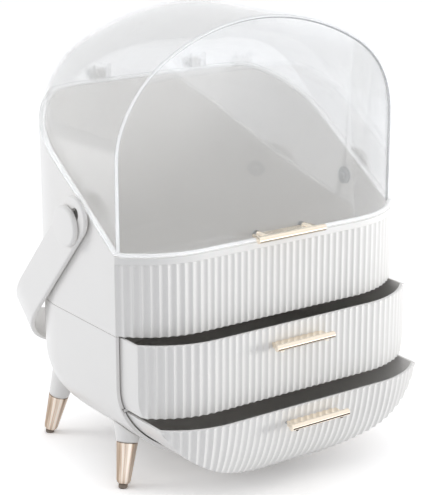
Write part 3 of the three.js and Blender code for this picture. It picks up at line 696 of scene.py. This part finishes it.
EAR = 2
EAR_ROOT = SIDE_DEPTH - DOME_INSET - DOME_WALL / 2
ear = [(EAR_ROOT, RIM_TOP + GAP), (SIDE_DEPTH, RIM_TOP + GAP)]
ear += arc(HINGE_Y, HINGE_Z, EYE, -80, 100, 16) + [(EAR_ROOT, HINGE_Z + 2 * EYE)]
ear_places = [side * HINGE_PLACE + hand * (TONGUE_WIDTH / 2 + GAP + EAR / 2)
              for side in (-1, 1) for hand in (-1, 1)]
ears = plates("dome_ears", ear, ear_places, EAR)
soften(ears, 0.3)

# Polystyrene moulded clear in a polished tool: glassy and colourless, with a little white haze.
clear_styrene = finish_of("clear_moulded_styrene", "#F9FAFA", "#F6F7F8", 0.04, 0.01, 30, 0.002,
                          {"IOR": 1.5, "Transmission Weight": 0.84, "Alpha": 0.33})
fit(dome, clear_styrene, "lid", "clear_dome", "lid_dome")
fit(ears, clear_styrene, "lid", "clear_dome")


def core(rows, share=0.9):
    """A closed strip that runs inside a wall: the wall's section at each place, drawn in a little."""
    sections = []
    for points in zip(*rows):
        middle = np.mean(points, axis=0)
        section = [tuple(middle + (np.array(p) - middle) * share) for p in points]
        sections.append(section + section[:1])
    return sections


def beside(rows, first, second, share=0.18):
    """A row that lies close to the first of two rows, at a share of the way to the second."""
    return np.array(rows[first]) * (1 - share) + np.array(rows[second]) * share


front_rows, behind_rows = outer_skin[1][:5], inner_skin[1][:5]
# Painted highlight: glowing white strips inside the arch's front edge and the flange.
arch_highlight_core = core(front_rows + behind_rows[::-1])
painted_edge_highlight = solid("dome_edge_light", [arch_highlight_core, core(closing)], [arch_highlight_core[0][:-1], arch_highlight_core[-1][:-1]])
# A painted highlight: the same clear plastic, milky white and glowing a little, in strips inside the arch's
# edge and round the flange, standing in for the light that the edge catches.
painted_highlight_finish = finish_of("light_in_the_styrene_edge", "#FFFFFF", "#FBFCFD", 0.25, 0.02, 20, 0.002,
                     {"IOR": 1.5, "Alpha": 0.6, "Emission Color": (1, 1, 1, 1), "Emission Strength": 0.3})
fit(painted_edge_highlight, painted_highlight_finish, "lid", "clear_dome")

# Painted shade: two thin grey strips inside the sharp sides of the arch's edge.
painted_shade_slivers = [core([front_rows[a], beside(front_rows, a, b), beside(behind_rows, a, b), behind_rows[a]])
           for a, b in ((0, 1), (4, 3))]
painted_edge_shade = solid("dome_edge_lines", painted_shade_slivers, [sliver[end][:-1] for sliver in painted_shade_slivers for end in (0, -1)])
# Painted shade: grey slivers along the sharp sides of that edge stand in for the fine grey lines that the
# edge makes where it turns the light away.
painted_shade_finish = finish_of("shade_in_the_styrene_edge", "#B4B7BA", "#A9ACB0", 0.25, 0.02, 20, 0.002,
                     {"IOR": 1.5, "Alpha": 0.45})
fit(painted_edge_shade, painted_shade_finish, "lid", "clear_dome")

# Bar pulls: a round aluminium bar on a thin ledge whose back edge is cut to the flutes, and two
# posts that the screws behind the front hold. The lid's is longer. Gold anodised and polished.

BAR = 2.65
BAR_EDGE = 0.35
BAR_REACH = 9.6
LID_BAR_HALF = 30.75
DRAWER_BAR_HALF = 27
MIDDLE_BAR_HEIGHT = MIDDLE_TOP - 12.6
BOTTOM_BAR_HEIGHT = BOTTOM_TOP - 9.5
LID_BAR_HEIGHT = RIM_FRONT + 4.6
LEDGE = 2
LEDGE_INSET = 4
LEDGE_STEPS = 169
POST = 2.5
POST_PLACE = 21
POST_DROP = 1.5


def spokes(axis, steps):
    """Unit vectors square to an axis, once round it and back to the first."""
    side = axis.orthogonal().normalized()
    other = axis.cross(side)
    angles = [2 * pi * (i % steps) / steps for i in range(steps + 1)]
    return [side * cos(angle) + other * sin(angle) for angle in angles]


def turned(profile, origin, axis, steps=48):
    """A turned form; its profile is a list of a radius and a distance along the axis."""
    axis = Vector(axis).normalized()
    return [[tuple(Vector(origin) + axis * along + spoke * radius) for spoke in spokes(axis, steps)]
            for radius, along in profile]


def hollow(x):
    """Depth of the flutes on the straight middle part of the front."""
    wave, soft = cos(pi * x / FLUTE_PITCH), RIDGE_SOFTNESS
    return FLUTE_DEPTH * (sqrt(wave ** 2 + soft ** 2) - soft) / (sqrt(1 + soft ** 2) - soft)


def pull(name, body, half, height, drop, opened, front, node):
    """A bar with its ledge and posts; front gives the depth of the face behind each place."""
    axis = -BOW - BAR_REACH - opened
    end = [(0, 0), (BAR - BAR_EDGE, 0), (BAR - 0.1, 0.1), (BAR, BAR_EDGE)]
    bar = turned(end + [(r, 2 * half - along) for r, along in reversed(end)],
                 (-half, axis, height), (1, 0, 0))
    xs = np.linspace(LEDGE_INSET - half, half - LEDGE_INSET, LEDGE_STEPS)
    low, high = height - LEDGE / 2, height + LEDGE / 2
    ledge = [[(x, axis, z) for x in xs] for z in (low, high)]
    ledge += [[(x, front(x) - GAP - opened, z) for x in xs] for z in (high, low)]
    ledge.append(ledge[0])
    ends = [[row[i] for row in ledge[:-1]] for i in (0, -1)]
    grids = [bar, ledge]
    for x in (-POST_PLACE, POST_PLACE):
        length = front(x) + BOW + BAR_REACH - GAP
        grids.append(turned([(0, 0), (POST, 0), (POST, length), (0, length)],
                            (x, axis, height - drop), (0, 1, 0), 32))
    piece = solid(name, grids, ends)
    soften(piece, 0.15, angle=60, segments=2)
    fit(piece, gold, body, "gold_pull", node)


# Anodised aluminium, polished: an ivory gold mirror, very slightly clouded.
gold = finish_of("gold_anodised_aluminium", "#FFF5E6", "#FBEFDC", 0.09, 0.02, 0.8, 0.001, {"Metallic": 1.0})
pull("middle_bar_pull", "upper_drawer", DRAWER_BAR_HALF, MIDDLE_BAR_HEIGHT, POST_DROP, MIDDLE_OPEN,
     lambda x: hollow(x) - BOW, "middle_pull")
pull("bottom_bar_pull", "lower_drawer", DRAWER_BAR_HALF, BOTTOM_BAR_HEIGHT, POST_DROP, BOTTOM_OPEN,
     lambda x: hollow(x) - BOW, "bottom_pull")
pull("lid_bar_pull", "lid", LID_BAR_HALF, LID_BAR_HEIGHT, 0, 0,
     lambda x: pane(x, LID_BAR_HEIGHT, 0), "lid_pull")

# The carry handle: a flat strap of white ABS, 32 mm wide and 4 mm thick, moulded as a U with
# rounded edges. Each end has an oblong slot over the neck of a knob, so that it swings and slides.

STRAP_WIDTH = 32
STRAP = 4
STRAP_AWAY = 1.3
STRAP_SIDE = HALF_WIDTH + STRAP_AWAY + STRAP / 2
STRAP_LENGTH = 165
STRAP_BEND = 69
STRAP_END = 26
STRAP_EDGE = 1.5
SLOT = 15
SLOT_EDGE = 0.4
CUT_EVERY = 2.5
PIVOT_Y = 55
PIVOT_Z = 202.6
NECK = 4
ARM = STRAP_LENGTH - STRAP / 2
ARM_CORNER = atan2(STRAP_WIDTH / 2, ARM)
HANG = acos((SIDE_DEPTH + GAP - PIVOT_Y) / hypot(ARM, STRAP_WIDTH / 2)) - ARM_CORNER
along = Vector((0, cos(HANG), -sin(HANG)))
across = Vector((1, 0, 0)).cross(along)
pivot = Vector((0, PIVOT_Y, PIVOT_Z))


def strap_path():
    """The middle line of the strap, from the end of its left arm to the end of its right arm, with
    a point for each degree of its bends."""
    straight = STRAP_LENGTH - STRAP_BEND
    left = [(-STRAP_SIDE, -STRAP_END), (-STRAP_SIDE, straight)]
    for degrees in range(1, 91):
        turn = radians(degrees)
        left.append((STRAP_BEND - STRAP_SIDE - STRAP_BEND * cos(turn),
                     straight + STRAP_BEND * sin(turn)))
    flat = left + [(-x, u) for x, u in reversed(left)]
    return [pivot + Vector((x, 0, 0)) + along * u for x, u in flat]


def oblong(near, far, radius, steps):
    """An outline with round ends about two places along the strap."""
    turns = np.linspace(0, pi, steps)
    return ([(far + radius * sin(t), radius * cos(t)) for t in turns]
            + [(near - radius * sin(t), -radius * cos(t)) for t in turns])


def band(shape, rings):
    """Faces between rings of points that each run once round."""
    for low, high in zip(rings, rings[1:]):
        for i in range(len(low)):
            j = (i + 1) % len(low)
            shape.faces.new((low[i], low[j], high[j], high[i]))


def strap_blank(length):
    """The strap laid out flat: x along it, y across it and z through it."""
    half, hole = STRAP_WIDTH / 2, NECK + GAP
    turns = [radians(a) for a in (0, 22.5, 45, 67.5, 90)]
    levels = [(STRAP_EDGE * (1 - cos(t)), STRAP / 2 - STRAP_EDGE + STRAP_EDGE * sin(t))
              for t in turns]
    levels = [(d, -z) for d, z in reversed(levels)] + levels
    shape = bmesh.new()
    outlines = []
    for near, far, radius, growth, steps in (
            (half, length - half, half, -1, 49),
            (STRAP_END - SLOT, STRAP_END, hole, SLOT_EDGE, 25),
            (length - STRAP_END, length - STRAP_END + SLOT, hole, SLOT_EDGE, 25)):
        rings = [[shape.verts.new((x, y, z)) for x, y in oblong(near, far, radius + growth * d, steps)]
                 for d, z in levels]
        band(shape, rings)
        outlines.append(rings)
    for side in (0, -1):
        edges = [shape.edges.get(pair) for rings in outlines
                 for pair in zip(rings[side], rings[side][1:] + rings[side][:1])]
        bmesh.ops.triangle_fill(shape, use_beauty=True, edges=edges)
    straight = STRAP_END + STRAP_LENGTH - STRAP_BEND
    for x in np.arange(straight, length - straight + 0.1, CUT_EVERY):
        bmesh.ops.bisect_plane(shape, geom=shape.verts[:] + shape.edges[:] + shape.faces[:],
                               plane_co=(x, 0, 0), plane_no=(1, 0, 0))
    return mesh_of("strap_blank", shape)


def bending():
    """Node tree that bends a flat blank along a path, as its length is used up."""
    tree, given = node_tree("bending", {"Path": "Object", "Width direction": "Vector"})
    path = add(tree, "GeometryNodeObjectInfo", {}, {"Object": given["Path"]})
    position = add(tree, "GeometryNodeInputPosition")
    place = add(tree, "ShaderNodeSeparateXYZ", {}, {0: position})
    sample = add(tree, "GeometryNodeSampleCurve", {"mode": "LENGTH"},
                 {"Curves": path.outputs["Geometry"], "Length": place.outputs["X"]})
    out = add(tree, "ShaderNodeVectorMath", {"operation": "CROSS_PRODUCT"},
              {0: sample.outputs["Tangent"], 1: given["Width direction"]})
    level = add(tree, "ShaderNodeVectorMath", {"operation": "NORMALIZE"}, {0: out})
    through_it = add(tree, "ShaderNodeVectorMath", {"operation": "SCALE"},
                     {0: level, "Scale": place.outputs["Z"]})
    over_it = add(tree, "ShaderNodeVectorMath", {"operation": "SCALE"},
                  {0: given["Width direction"], "Scale": place.outputs["Y"]})
    both = add(tree, "ShaderNodeVectorMath", {"operation": "ADD"}, {0: through_it, 1: over_it})
    bent = add(tree, "GeometryNodeSetPosition", {}, {"Geometry": given["Geometry"], "Offset": both,
                                                     "Position": sample.outputs["Position"]})
    return end_tree(tree, given, bent)


def in_metres(point):
    """A point drawn in millimetres, as a point of the frame."""
    return Vector(point) * 0.001 + Vector((0, FRONT_EDGE, 0))


knots = [in_metres(p) for p in strap_path()]
line = bpy.data.curves.new("strap_path", "CURVE")
line.dimensions = "3D"
spline = line.splines.new("POLY")
spline.points.add(len(knots) - 1)
for knot, p in zip(spline.points, knots):
    knot.co = (*p, 1)
path = placed("strap_path", line)
length = sum((b - a).length for a, b in zip(knots, knots[1:])) * 1000
strap = placed("carry_strap", strap_blank(length))
through(strap, bending(), {"Path": path, "Width direction": across, "Finish": white_abs})
bpy.data.objects.remove(path)
keep_flat(strap)
fit(strap, white_abs, "handle", "white_plastic", "carry_handle")

# The knobs: turned-looking ABS discs with a rounded rim and a faintly domed face, whose necks pass
# through the strap's slots and the bin's walls; a washer and a screw inside hold each one.

KNOB = 15.5
KNOB_CAP = 4.5
KNOB_ROUND = 1.8
KNOB_UNDER = 0.6
KNOB_DOME = 0.3
NECK_START = HALF_WIDTH - WALL - GAP
NECK_END = STRAP_SIDE + STRAP / 2 + GAP - NECK_START
SIDES = ((-1, "left"), (1, "right"))

rim_top = NECK_END + KNOB_CAP - KNOB_DOME
knob_line = [(0, 0), (NECK, 0), (NECK, NECK_END), (KNOB - KNOB_UNDER, NECK_END),
             (KNOB, NECK_END + KNOB_UNDER)]
knob_line += [(KNOB - KNOB_ROUND + KNOB_ROUND * sin(t), rim_top - KNOB_ROUND + KNOB_ROUND * cos(t))
              for t in np.linspace(pi / 2, 0, 8)]
knob_line += [(r, rim_top + KNOB_DOME * (1 - (r / KNOB) ** 2)) for r in (13, 10, 7, 4, 0)]
for side, word in SIDES:
    knob = turned(knob_line, (side * NECK_START, PIVOT_Y, PIVOT_Z), (side, 0, 0), 72)
    knob = solid(f"knob_disc_{word}", [knob])
    soften(knob, 0.3, angle=60)
    fit(knob, white_abs, "box", "white_plastic", f"knob_{word}")

# The legs: white ABS cones whose tops are shaped to the belly, each held by a screw from inside.
# A champagne metal ferrule is pushed on each cone's spigot, with a small rubber pad under it.

LEG_TOP = 10.5
LEG_EDGE = 0.4
LEG_SPREAD = 10
SPIGOT = 6.5
FERRULE = 32
FERRULE_TOP = 8.3
FERRULE_RIM = 0.5
TOE_FACE = 3.2
TOE_WIDTH = 2.6
TOE_HEIGHT = 4.4
PAD = 3.5
PAD_HEIGHT = 3
PAD_STEM = 2
# The side of a cone is followed up to this far past the belly to find where the two meet.
PAST_BELLY = 30
# The noise of the painted reflection streaks is read on a circle of this radius, in metres, and at this
# share of a place's height, so that it changes round the sleeve and hardly along it.
PAINTED_STREAK_TURN = 0.0075
PAINTED_STREAK_STRETCH = 0.04


def clear_of_belly(p):
    """Positive where a point is outside the housing's belly, with the gap between the pieces."""
    turn = asin(min(1, max(0, p.y - CORNER_START) / (CORNER + GAP)))
    half, low = egg_wall(turn, -GAP)[1:]
    return (p.x / half) ** 2 + ((BELLY - p.z) / low) ** 2 - 1


def leg_cone(foot, axis, length, steps=64):
    """The white cone, from its spigot up to the belly that it is shaped to."""
    base = FERRULE + PAD_HEIGHT

    def wide(distance):
        return FERRULE_TOP + (LEG_TOP - FERRULE_TOP) * distance / length

    columns = []
    for spoke in spokes(axis, steps):

        def at(distance, radius):
            return foot + axis * (base + distance) + spoke * radius

        low, high = GAP, length + PAST_BELLY
        for _ in range(30):
            middle = (low + high) / 2
            if clear_of_belly(at(middle, wide(middle))) > 0:
                low = middle
            else:
                high = middle
        column = [at(-WALL, 0), at(-WALL, SPIGOT), at(GAP, SPIGOT), at(GAP, FERRULE_TOP - LEG_EDGE),
                  at(GAP + LEG_EDGE, FERRULE_TOP)]
        columns.append(column + [at(low * share, wide(low * share)) for share in np.linspace(0.15, 1, 7)])
    rows = [[tuple(p) for p in row] for row in zip(*columns)]
    middle = tuple(np.mean(rows[-1][:-1], axis=0))
    return rows + [[middle] * (steps + 1)]


rim_round = [(FERRULE_TOP - FERRULE_RIM + FERRULE_RIM * sin(t), FERRULE - FERRULE_RIM
              + FERRULE_RIM * cos(t)) for t in np.linspace(pi / 2, 0, 6)]
toe = [(TOE_FACE + TOE_WIDTH * sin(t), TOE_HEIGHT - TOE_HEIGHT * cos(t))
       for t in np.linspace(0, pi / 2, 9)]
sleeve_line = [(0, 0)] + toe + rim_round
sleeve_line += [(SPIGOT, FERRULE), (SPIGOT, FERRULE - WALL - GAP), (0, FERRULE - WALL - GAP)]
pad_line = [(0, 0.1), (PAD - 0.4, 0.1), (PAD, 0.5), (PAD, PAD_HEIGHT - GAP), (PAD_STEM, PAD_HEIGHT - GAP),
            (PAD_STEM, 7), (0, 7)]
# Plated champagne metal with painted reflections: soft bright and dark upright streaks round the sleeve.
champagne = finish_of("champagne_plated_metal", "#F0E4D8", "#A8937F", 0.12, 0.03, 0.9, 0.001,
                      {"Metallic": 1.0}, broad_grain=3.2, follows="streak")
# Moulded rubber, matt and a little dusty.
rubber = finish_of("moulded_foot_rubber", "#8E8175", "#857A70", 0.75, 0.1, 0.5, 0.02, {"IOR": 1.5})
legs = []
for word, x, y, splay in (("front_left", -103, 28.5, -7), ("front_right", 103, 28.5, -7),
                          ("back_left", -95.5, 135, 12), ("back_right", 95.5, 135, 12)):
    turn = asin(max(0, y - CORNER_START) / CORNER)
    half, low = egg_wall(turn, 0)[1:]
    fall = low * sqrt(1 - (x / half) ** 2)
    root = Vector((x, y, BELLY - fall))
    foot = Vector((x + copysign(LEG_SPREAD, x), y + splay, 0))
    axis = (root - foot).normalized()
    narrowing = x ** 2 / half ** 3 + fall ** 2 / low ** 3 * BACK_RISE / CORNER
    outward = Vector((x / half ** 2, narrowing * tan(turn), -fall / low ** 2)).normalized()
    legs.append((word, root, outward))
    cone = solid(f"leg_cone_{word}", [leg_cone(foot, axis, (root - foot).length - FERRULE - PAD_HEIGHT)])
    fit(cone, white_abs, "box", "white_plastic", f"leg_{word}")

    sleeve_foot = foot + axis * PAD_HEIGHT
    sleeve = solid(f"ferrule_sleeve_{word}", [turned(sleeve_line, sleeve_foot, axis, 72)])
    # Each point's place round the sleeve's axis, which the painted reflection streaks follow.
    streak = []
    for vertex in sleeve.data.vertices:
        p = vertex.co - in_metres(sleeve_foot)
        off = p - axis * p.dot(axis)
        around = atan2(off.y, off.x)
        streak += [PAINTED_STREAK_TURN * cos(around), PAINTED_STREAK_TURN * sin(around), PAINTED_STREAK_STRETCH * p.dot(axis)]
    sleeve.data.attributes.new("streak", "FLOAT_VECTOR", "POINT").data.foreach_set("vector", streak)
    soften(sleeve, 0.2, segments=2)
    fit(sleeve, champagne, "box", "champagne_ferrule", f"ferrule_{word}")

    pad = turned(pad_line, foot, axis, 40)
    # The underside lies flat on the table.
    pad[:2] = [[(px, py, 0) for px, py, _ in ring] for ring in pad[:2]]
    pad = solid(f"foot_pad_turned_{word}", [pad])
    fit(pad, rubber, "box", "foot_rubber", f"foot_pad_{word}")

# The screws: zinc plated steel with a low domed head and a cross recess, 2.8 mm thick. They hold the
# legs, the bin and the knobs from inside, and the pulls from behind their fronts.

HEAD = 2.8
HEAD_HEIGHT = 2
HEAD_RIM = 0.35
SHANK = 1.4
THREADS = 6
THREAD_START = 0.5
THREAD_PITCH = 0.9
THREAD_DEPTH = 0.15
TIP = 6
RECESS_TURN = 0.35
RECESS_ARM = 0.8
RECESS_CORNER = 0.378
RECESS_DEPTH = 0.75
RECESS_TAPER = 0.7
RECESS_LIP = 0.03
SUNK = 0.2
WASHER = 1.5


def screw_pattern(steps=24):
    """One screw along z, its head below the origin; the cross is sunk into the head."""
    dome_line = [(HEAD * sin(t), -HEAD_HEIGHT * (HEAD_RIM + (1 - HEAD_RIM) * cos(t)))
                 for t in np.linspace(RECESS_TURN, pi / 2, 6)]
    thread = [(SHANK - THREAD_DEPTH * (i % 2), THREAD_START + i * THREAD_PITCH / 2)
              for i in range(2 * THREADS)]
    profile = dome_line + [(HEAD, 0), (SHANK, 0)] + thread + [(SHANK / 2, TIP), (0, TIP)]
    circle = [(cos(2 * pi * i / steps), sin(2 * pi * i / steps)) for i in range(steps)]
    shape = bmesh.new()
    rings = [[shape.verts.new((r * u, r * v, z)) for u, v in circle] for r, z in profile]
    band(shape, rings)
    cross = []
    for u, v in circle:
        radius = RECESS_ARM if min(abs(u), abs(v)) < 0.3 else RECESS_CORNER
        cross.append((u * radius, v * radius))
    sunk = RECESS_DEPTH - HEAD_HEIGHT
    lip = [shape.verts.new((x, y, profile[0][1] - RECESS_LIP)) for x, y in cross]
    pit = [shape.verts.new((x * RECESS_TAPER, y * RECESS_TAPER, sunk)) for x, y in cross]
    bottom = shape.verts.new((0, 0, sunk))
    for i in range(steps):
        j = (i + 1) % steps
        shape.faces.new((rings[0][i], lip[i], lip[j], rings[0][j]))
        shape.faces.new((lip[i], pit[i], pit[j], lip[j]))
        shape.faces.new((pit[i], bottom, pit[j]))
    bmesh.ops.remove_doubles(shape, verts=shape.verts, dist=0.001)
    return placed("screw_pattern", mesh_of("screw_pattern", shape))


def screwing():
    """Node tree that sets one screw at each point, turned along the point's own direction."""
    tree, given = node_tree("screwing", {"Screw": "Object"})
    screw = add(tree, "GeometryNodeObjectInfo", {}, {"Object": given["Screw"]})
    way = add(tree, "GeometryNodeInputNamedAttribute", {"data_type": "FLOAT_VECTOR", "Name": "way"})
    turn = add(tree, "FunctionNodeAlignRotationToVector", {"axis": "Z"}, {"Vector": way})
    set_out = add(tree, "GeometryNodeInstanceOnPoints", {},
                  {"Points": given["Geometry"], "Instance": screw.outputs["Geometry"], "Rotation": turn})
    return end_tree(tree, given, set_out)


# Zinc plated steel: a cool, slightly uneven grey metal.
zinc = finish_of("zinc_plated_steel", "#C4C6C8", "#AEB1B5", 0.32, 0.06, 1.2, 0.004, {"Metallic": 1.0})
pattern, screw_tree = screw_pattern(), screwing()


def screws(name, body, places, nodes):
    """All the screws of one body; each place is a point under the head and the way to the tip."""
    mesh = bpy.data.meshes.new(name)
    mesh.from_pydata([in_metres(p) for p, way in places], [], [])
    attribute = mesh.attributes.new("way", "FLOAT_VECTOR", "POINT")
    attribute.data.foreach_set("vector", [c for p, way in places for c in Vector(way).normalized()])
    piece = placed(name, mesh)
    through(piece, screw_tree, {"Screw": pattern, "Finish": zinc})
    piece.data.set_sharp_from_angle(angle=radians(35))
    fit(piece, zinc, body, "zinc_steel", *nodes)


def box_of(node):
    """The near and far corner of a CAD node's box, and its middle, in millimetres."""
    low, high = [in_millimetres(corner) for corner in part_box(node)]
    return low, high, (low + high) / 2


box_places = [(root - out * (WALL - HEAD_HEIGHT - SUNK), out) for word, root, out in legs]
box_nodes = [f"leg_screw_{word}" for word, root, out in legs]
for side, word in SIDES:
    middle = box_of(f"bin_screw_{word}")[2]
    box_places.append(((middle.x, middle.y, SEAM - GAP - WALL - GAP), (0, 0, 1)))
    middle = box_of(f"pivot_screw_{word}")[2]
    box_places.append(((side * (HALF_WIDTH - WALL - 3 * GAP - WASHER), middle.y, middle.z), (side, 0, 0)))
    box_nodes += [f"bin_screw_{word}", f"pivot_screw_{word}"]
screws("box_screws", "box", box_places, box_nodes)
for body, front in (("lid", "lid"), ("upper_drawer", "middle"), ("lower_drawer", "bottom")):
    nodes = [f"{front}_pull_screw_{word}" for word in ("left", "right")]
    places = []
    for node in nodes:
        low, high, middle = box_of(node)
        places.append(((middle.x, high.y - HEAD_HEIGHT, middle.z), (0, -1, 0)))
    screws(f"{front}_pull_screws", body, places, nodes)
bpy.data.objects.remove(pattern)

# The hinge pins and the washers behind the knobs: plain zinc plated steel, as the CAD has them.
for word in ("left", "right"):
    for node in ("hinge_pin_", "pivot_washer_"):
        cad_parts[node + word].data.materials[0] = zinc

# The table top and the light: a plain white sheet under soft lamps. The camera sees the sheet and the
# background white, and the object's own soft shadow stays on it, with painted shade added close under the
# object.

SHEET_X = (-6000, 6000)
SHEET_Y = (-6000, 9000)
SHEET_Z = -0.05
OVERBRIGHT = (1.58, 1.56, 1.54, 1)
PAINTED_SHADE_METRES = 0.055
PAINTED_SHADE_SHARE = 0.3
CARD_X = (0, 320)
CARD_Y = (-190, -90)
CARD_Z = 1


def seen(tree):
    """1 for rays that reach the eye straight, off a shiny face or through clear plastic."""
    rays = add(tree, "ShaderNodeLightPath").outputs
    found = rays["Is Camera Ray"]
    for kind in ("Is Glossy Ray", "Is Transmission Ray"):
        found = add(tree, "ShaderNodeMath", {"operation": "MAXIMUM"}, {0: found, 1: rays[kind]})
    return found


# Matt white paper. Seen rays get a brighter white, with painted shade that darkens it a little close under
# the object.
sheet = bpy.data.materials.new("matt_white_paper")
tree = cleared(sheet)
place = add(tree, "ShaderNodeTexCoord").outputs["Object"]
fibre = add(tree, "ShaderNodeTexNoise", {"Scale": 400.0}, {"Vector": place})
paper = add(tree, "ShaderNodeMix", {"data_type": "RGBA", 6: linear("#F2F2F3"), 7: linear("#EFEFF0")},
            {0: fibre})
matt = add(tree, "ShaderNodeBsdfDiffuse", {}, {"Color": paper.outputs[2]})
# Painted shade: ambient occlusion darkens the seen white where the object stands close above the sheet.
painted_contact_shade = add(tree, "ShaderNodeAmbientOcclusion",
             {"samples": 12, "Color": OVERBRIGHT, "Distance": PAINTED_SHADE_METRES})
white_with_painted_shade = add(tree, "ShaderNodeMix", {"data_type": "RGBA", 0: PAINTED_SHADE_SHARE, 6: OVERBRIGHT},
                {7: painted_contact_shade.outputs["Color"]})
lit = add(tree, "ShaderNodeBsdfDiffuse", {}, {"Color": white_with_painted_shade.outputs[2]})
both = add(tree, "ShaderNodeMixShader", {}, {0: seen(tree), 1: matt, 2: lit})
add(tree, "ShaderNodeOutputMaterial", {}, {"Surface": both})
table = solid("white_sheet", [[[(x, y, SHEET_Z) for x in SHEET_X] for y in SHEET_Y]])
table.data.materials.append(sheet)

# The room: soft, slightly cool daylight from all sides, and plain white where it is seen.
world = bpy.data.worlds.new("white_room")
bpy.context.scene.world = world
tree = cleared(world)
soft = add(tree, "ShaderNodeBackground", {"Color": (0.972, 0.997, 1.036, 1), "Strength": 0.645})
white = add(tree, "ShaderNodeBackground", {"Color": (1, 1, 1, 1), "Strength": 1.0})
both = add(tree, "ShaderNodeMixShader", {}, {0: seen(tree), 1: soft, 2: white})
add(tree, "ShaderNodeOutputWorld", {}, {"Surface": both})

# A dark card lying in front of the box, which only polished metal reflects, as a thin dark line.
card = solid("dark_card", [[[(x, y, CARD_Z) for x in CARD_X] for y in CARD_Y]])
felt = bpy.data.materials.new("dark_felt")
tree = cleared(felt)
dark = add(tree, "ShaderNodeBsdfDiffuse", {"Color": linear("#3A2A1E")})
add(tree, "ShaderNodeOutputMaterial", {}, {"Surface": dark})
card.data.materials.append(felt)
card.visible_camera = False
card.visible_diffuse = False
card.visible_transmission = False
card.visible_shadow = False


def aim(thing, place, target):
    """Puts a lamp or the camera at a place and turns it to its target."""
    thing.location = place
    thing.rotation_mode = "QUATERNION"
    thing.rotation_quaternion = (Vector(target) - thing.location).to_track_quat("-Z", "Y")


def lamp(name, place, target, width, height, power):
    """A soft box lamp that lights the box but isn't mirrored in it."""
    light = bpy.data.lights.new(name, "AREA")
    light.shape = "RECTANGLE"
    light.size, light.size_y, light.energy = width, height, power
    holder = placed(name, light)
    aim(holder, place, target)
    holder.visible_camera = False
    holder.visible_glossy = False
    holder.visible_transmission = False


lamp("key_from_the_right_front", (0.92, -0.84, 0.2), (0, -0.05, 0.16), 0.5, 0.26, 6.5)
lamp("fill_from_the_left_back", (-1.3, 0.95, 0.7), (0, 0, 0.18), 0.7, 0.36, 6.5)

# The camera stands to the left of the box's front and a little above it.
camera = placed("camera", bpy.data.cameras.new("camera"))
camera.data.lens = 116.5
camera.data.sensor_width = 36
aim(camera, (-0.6960, -0.97903, 0.5248), (0.0164, 0.02847, 0.1532))
bpy.context.scene.camera = camera
bpy.context.scene.view_settings.view_transform = "Standard"
